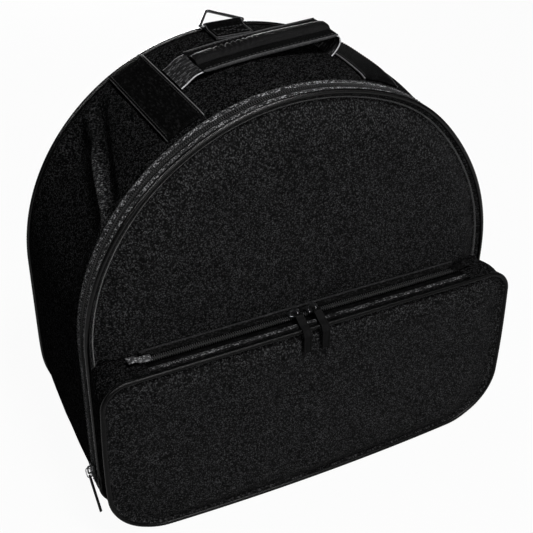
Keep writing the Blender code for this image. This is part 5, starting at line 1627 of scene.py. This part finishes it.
def strap_pad(word, side):
    share = np.linspace(0, 1, STRAP_STATIONS)
    line, across, normal = strap_frames(share, side)
    turns = np.linspace(0, 2 * math.pi, 32, endpoint=False)
    wide = np.sign(np.cos(turns)) * np.abs(np.cos(turns)) ** 0.55
    high = np.sign(np.sin(turns)) * np.abs(np.sin(turns)) ** 0.75
    pinch = 1 - 0.10 * np.abs(np.sin(math.pi * share * 6))
    half_wide = strap_width(share) / 2
    before_swelling = np.where(share > NECK_SHARE, PAD_START, 1.0)
    half_thick = strap_thickness(share) / 2 * (0.90 + 0.10 * pinch) * before_swelling
    sideways = across[:, None] * np.outer(half_wide, wide)[..., None]
    points = line[:, None] + sideways + normal[:, None] * np.outer(half_thick, high)[..., None]
    around = running(np.c_[np.append(wide, wide[0]) * STRAP_WIDTH / 2, np.append(high, high[0]) * 5 * MM])
    mesh = cloth_mesh("strap_pad_cloth_" + word, points, running(line), around, round_v=True, caps=True)
    made = linked("strap_pad_cloth_" + word, mesh, "mesh_pad")

    def held(places):
        part = (STRAP_TOP_Z - places[:, 2]) / (STRAP_TOP_Z - STRAP_FOOT_Z)
        off_middle = np.abs(places[:, 0] - np.interp(part, share, line[:, 0]))
        return (off_middle < HELD_HALF) | (part < 0.15) | (part > 0.985)

    blown_up(made, held)
    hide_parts("strap_pad_" + word)
    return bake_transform(made)


lock_low, lock_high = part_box("ladder_lock_right")
LOCK_Y = (lock_low.y + lock_high.y) / 2
LOOP_RADIUS, TURN_RADIUS, STRAP_TAPE_THICK = 3.2 * MM, 3.7 * MM, 1.2 * MM
TAIL_END = 64 * MM
TOP_BAR_Z = STRAP_FOOT_Z - 2 * LOOP_RADIUS
LOCK_Z = (lock_low.z + lock_high.z) / 2


def strap_tape(word, side):
    share = np.linspace(1 / STRAP_STATIONS, 1, STRAP_STATIONS)
    line, across, normal = strap_frames(share, side)
    path = line + normal * (strap_thickness(share) / 2 + 0.8 * MM)[:, None]
    turns = np.linspace(0, -math.pi, 14)
    x = side * STRAP_FOOT_X
    loop = [(x, LOCK_Y + LOOP_RADIUS * math.cos(t), TOP_BAR_Z + LOOP_RADIUS * math.sin(t)) for t in turns]
    path = np.vstack([path[:-1], loop, [(x, LOCK_Y - LOOP_RADIUS, STRAP_FOOT_Z - 1 * MM)]])
    sides = np.vstack([across[:-1] * side, np.tile((1, 0, 0), (len(loop) + 1, 1))])
    return ribbon("strap_tape_cloth_" + word, "strap_webbing", path, sides, STRAP_TAPE, STRAP_TAPE_THICK)


def lower_webbing(word, side):
    foot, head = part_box("strap_webbing_" + word)[0].z, lock_low.z
    x = side * STRAP_FOOT_X
    start_y = BACK_FACE + STRAP_CLEAR + STRAP_TAPE_THICK / 2
    back_y, front_y = LOCK_Y - TURN_RADIUS, LOCK_Y + TURN_RADIUS
    rise = ((0, 0), (0.15, 0.30), (0.80, 0.75))
    route = [(start_y + (back_y - start_y) * out, foot + (head - foot) * up) for out, up in rise]
    route.append((back_y, head))
    turns = np.linspace(math.pi, 0, 14)
    route += [(LOCK_Y + TURN_RADIUS * math.cos(t), LOCK_Z + TURN_RADIUS * math.sin(t)) for t in turns]
    route += [(front_y, head), (front_y + STRAP_TAPE_THICK, TAIL_END)]
    path = [(x, y, z) for y, z in route]
    facts = ("strap_webbing", path, (1, 0, 0), STRAP_TAPE, STRAP_TAPE_THICK)
    made = ribbon("strap_tail_" + word, *facts, steps=90)
    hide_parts("strap_webbing_" + word)
    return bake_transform(made)


strap_tapes = {}
for word, side in SIDES.items():
    strap_pad(word, side)
    strap_tapes[word] = seat(strap_tape(word, side), "strap_" + word, "webbing", "strap_tape_" + word)
    lower_webbing(word, side)

# %% Sew the yoke and the anchors
YOKE_WIDTH, ANCHOR_FOOT, ANCHOR_HEAD = 170 * MM, 42 * MM, 29 * MM
PATCH_THICK, PATCH_RISE, PATCH_EDGE, PATCH_ROWS = 0.9 * MM, 1.3 * MM, 2.5 * MM, 10


def back_patch(name, node, foot_width, head_width, columns=24):
    low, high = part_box(node)
    v = np.linspace(0, 1, PATCH_ROWS + 1)[:, None]
    u = np.linspace(-0.5, 0.5, columns + 1)[None]
    width = foot_width + (head_width - foot_width) * v
    x = (low.x + high.x) / 2 + u * width
    tall = high.z - low.z
    z = low.z + tall * v
    edge = np.minimum(np.minimum(v, 1 - v) * tall, (0.5 - np.abs(u)) * width)
    y = back_face(x, z) + PATCH_THICK + PATCH_RISE * smooth(edge / PATCH_EDGE)
    mesh = cloth_mesh(name, grid(x, y, z), v[:, 0] * tall, (u[0] + 0.5) * max(foot_width, head_width))
    return thicken(linked(name, mesh, "patch_cloth"), PATCH_THICK, offset=1.0)


yoke_patch = back_patch("yoke_patch", "strap_yoke", YOKE_WIDTH, YOKE_WIDTH, columns=60)
seat(yoke_patch, "bag", "webbing", "strap_yoke")
anchor_patches = {}
for word, side in SIDES.items():
    node = "strap_anchor_" + word
    patch = back_patch("anchor_patch_" + word, node, ANCHOR_FOOT, ANCHOR_HEAD)
    anchor_patches[side] = seat(patch, "bag", "webbing", node)

# %% [markdown]
# ## Stitches
# Webbing that carries a load is sewn down in rows, and the rows are what tells it from a printed
# stripe. Each row starts as points a little off the cloth. They are dropped on it along a given
# way, spaced out evenly, and every stitch becomes a short thread, fat in its middle and pulled
# down at both ends. All stitches of one body are one piece.

# %% Sew the stitches
STITCH_STEP, STITCH_LONG, STITCH_FAT = 3.8 * MM, 2.7 * MM, 0.36 * MM
STITCH_SIDES = 5
STITCH_SHARES = np.array(((-0.5, 0.35, -0.9), (-0.28, 1.0, 0.0), (0.28, 1.0, 0.0), (0.5, 0.35, -0.9)))
DROP_FROM = 12 * MM
BAND_EDGE, BAND_END, PATCH_SEAM, TAB_SEAM, TAB_SEWN = 2.6 * MM, 3 * MM, 3.2 * MM, 3 * MM, 17 * MM
FOLD_SEAM, STRAP_SEAM = 8.2 * MM, 2.4 * MM


def dropped(made, points, way):
    """Points moved along way on to a piece. Those that miss it are left out."""
    tree = BVHTree.FromObject(made, bpy.context.evaluated_depsgraph_get())
    ways = np.broadcast_to(np.array(way, float), np.shape(points))
    pairs = zip(np.array(points), ways)
    hits = [tree.ray_cast(Vector(p - w * DROP_FROM), Vector(w), 2 * DROP_FROM) for p, w in pairs]
    kept = [(place, normal) for place, normal, _, _ in hits if place is not None]
    return np.array([place for place, _ in kept]), np.array([normal for _, normal in kept])


def stitch_row(made, points, way):
    """Threads along a row as a list of (rings, stitches) points."""
    span = running(points)
    along = np.arange(STITCH_STEP / 2, span[-1], STITCH_STEP)
    points = rows_at(along, span, points)
    if np.ndim(way) > 1:
        way = rows_at(along, span, way)
    places, ups = dropped(made, points, way)
    ahead = unit(np.gradient(places, axis=0))
    rings = rings_round(np.cross(ahead, ups), ups, STITCH_SIDES)
    threads = []
    for along_share, fat, sunk in STITCH_SHARES:
        middle = places + ahead * STITCH_LONG * along_share + ups * STITCH_FAT * (0.7 + sunk)
        threads.append(middle[:, None] + STITCH_FAT * fat * rings)
    return np.array(threads).transpose(1, 0, 2, 3)


def stitches(name, body, rows):
    """One piece for all the rows, each given as (piece, points, way)."""
    threads = np.concatenate([stitch_row(*row) for row in rows])
    count, rings, sides = threads.shape[:3]
    faces = []
    for first in range(0, count * rings * sides, rings * sides):
        last = first + (rings - 1) * sides
        for low in range(first, last, sides):
            for k in range(sides):
                after = (k + 1) % sides
                faces.append([low + k, low + after, low + sides + after, low + sides + k])
        faces += [list(range(first, first + sides))[::-1], list(range(last, last + sides))]
    mesh = new_mesh(name, threads.reshape(-1, 3), faces)
    if enclosed(mesh) < 0:
        mesh.flip_normals()
    print(name + ":", count, "stitches")
    return seat(linked(name, mesh, "sewing_thread", settle=False), body, "webbing")


def box_of_stitches(made, corners, way):
    """Four rows round a box of corners and two crossing it, on one piece."""
    pairs = ((0, 1), (1, 2), (2, 3), (3, 0), (0, 2), (1, 3))
    return [(made, np.linspace(corners[first], corners[last], 20), way) for first, last in pairs]


def band_rows():
    rows = []
    low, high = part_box("band_left")
    ys = np.linspace(low.y + BAND_END, high.y - BAND_END, 30)
    for side, made in bands.items():
        for edge in (-1, 1):
            turn = BAND_TURNS[side] + edge * (BAND_WIDTH / 2 - BAND_EDGE) / wall_radius
            out = np.array((math.cos(turn), 0.0, math.sin(turn)))
            points = grid(wall_radius * out[0], ys, ARCH_Z + wall_radius * out[2])
            rows.append((made, settled(points), -out))
    return rows


def patch_rows():
    low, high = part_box("strap_yoke")
    inset = PATCH_SEAM
    rows = []
    left, right = (low.x + high.x - YOKE_WIDTH) / 2 + inset, (low.x + high.x + YOKE_WIDTH) / 2 - inset
    edges = ((left, low.z + inset), (right, low.z + inset), (right, high.z - inset), (left, high.z - inset))
    for k in range(4):
        ends = [(x, BACK_FACE, z) for x, z in (edges[k], edges[(k + 1) % 4])]
        rows.append((yoke_patch, np.linspace(*ends, 60), (0, -1, 0)))
    low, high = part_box("strap_anchor_right")
    half = ANCHOR_HEAD / 2 - inset
    shape = ((-half, low.z + inset), (half, low.z + inset), (half, high.z - inset), (-half, high.z - inset))
    for side, made in anchor_patches.items():
        middle = side * (low.x + high.x) / 2
        rows += box_of_stitches(made, [(middle + x, BACK_FACE, z) for x, z in shape], (0, -1, 0))
    return rows


def tab_rows():
    x = (tab_low.x + tab_high.x) / 2
    half, front, back = BAND_WIDTH / 2 - TAB_SEAM, tab_low.y + TAB_SEAM, tab_low.y + TAB_SEWN
    shape = ((-half, front), (half, front), (half, back), (-half, back))
    return box_of_stitches(hanging_tab, [(x + u, y, tab_high.z) for u, y in shape], (0, 0, -1))


def tape_fold_row():
    out_x, out_z = zip_span["out"].T
    at = zip_span["at"] - zip_span["out"] * WALL_INSET
    points = grid(at[:, 0], FOLD_Y + FOLD_SEAM, at[:, 1])
    return (body_tape, settled(points), grid(-out_x, 0.0, -out_z))


def sleeve_rows():
    line = grip_line(np.linspace(0.02, 0.98, 40))
    return [(sleeve, line + (0, hand * SEAM_SHARE * SLEEVE_HALF, 0), (0, 0, -1)) for hand in (-1, 1)]


def strap_rows(word, side):
    line, across, normal = strap_frames(np.linspace(0.03, 0.965, 60), side)
    half = STRAP_TAPE / 2 - STRAP_SEAM
    return [(strap_tapes[word], line + across * hand * half + normal * 6 * MM, -normal) for hand in (-1, 1)]


stitches("bag_stitches", "bag", band_rows() + patch_rows() + tab_rows() + [tape_fold_row()])
stitches("sleeve_stitches", "handle", sleeve_rows())
for word, side in SIDES.items():
    stitches("strap_stitches_" + word, "strap_" + word, strap_rows(word, side))

# %% [markdown]
# ## What is plain cloth
# A skin of cloth has the size it was cut to, however it is stretched over its foam. Each skin's
# cut size is printed below.

# %% Say which pieces are plain cloth


def say_cloth(name, width, length):
    print(f"{name}: cut {width:.3f} x {length:.3f} m")


def say_panel(name, line):
    width, height = np.ptp(line, axis=0)
    say_cloth(name, width, height)


big_panel = panel_outline(COVER_INSET)
say_panel("lid_cloth", big_panel)
say_panel("back_cloth", big_panel)
say_panel("pocket_front_cloth", pocket_front_line)
say_cloth("wall_cloth", WALL_BACK - WALL_FRONT, AROUND)
pocket_round = pocket_wall_walk["length"][-1]
say_cloth("pocket_wall_cloth", FRONT_SEAM - POCKET_SEAM, pocket_round)
say_cloth("hinge_cloth", HINGE_PROFILE[-1][0] - HINGE_PROFILE[0][0], 2 * HINGE_HALF)
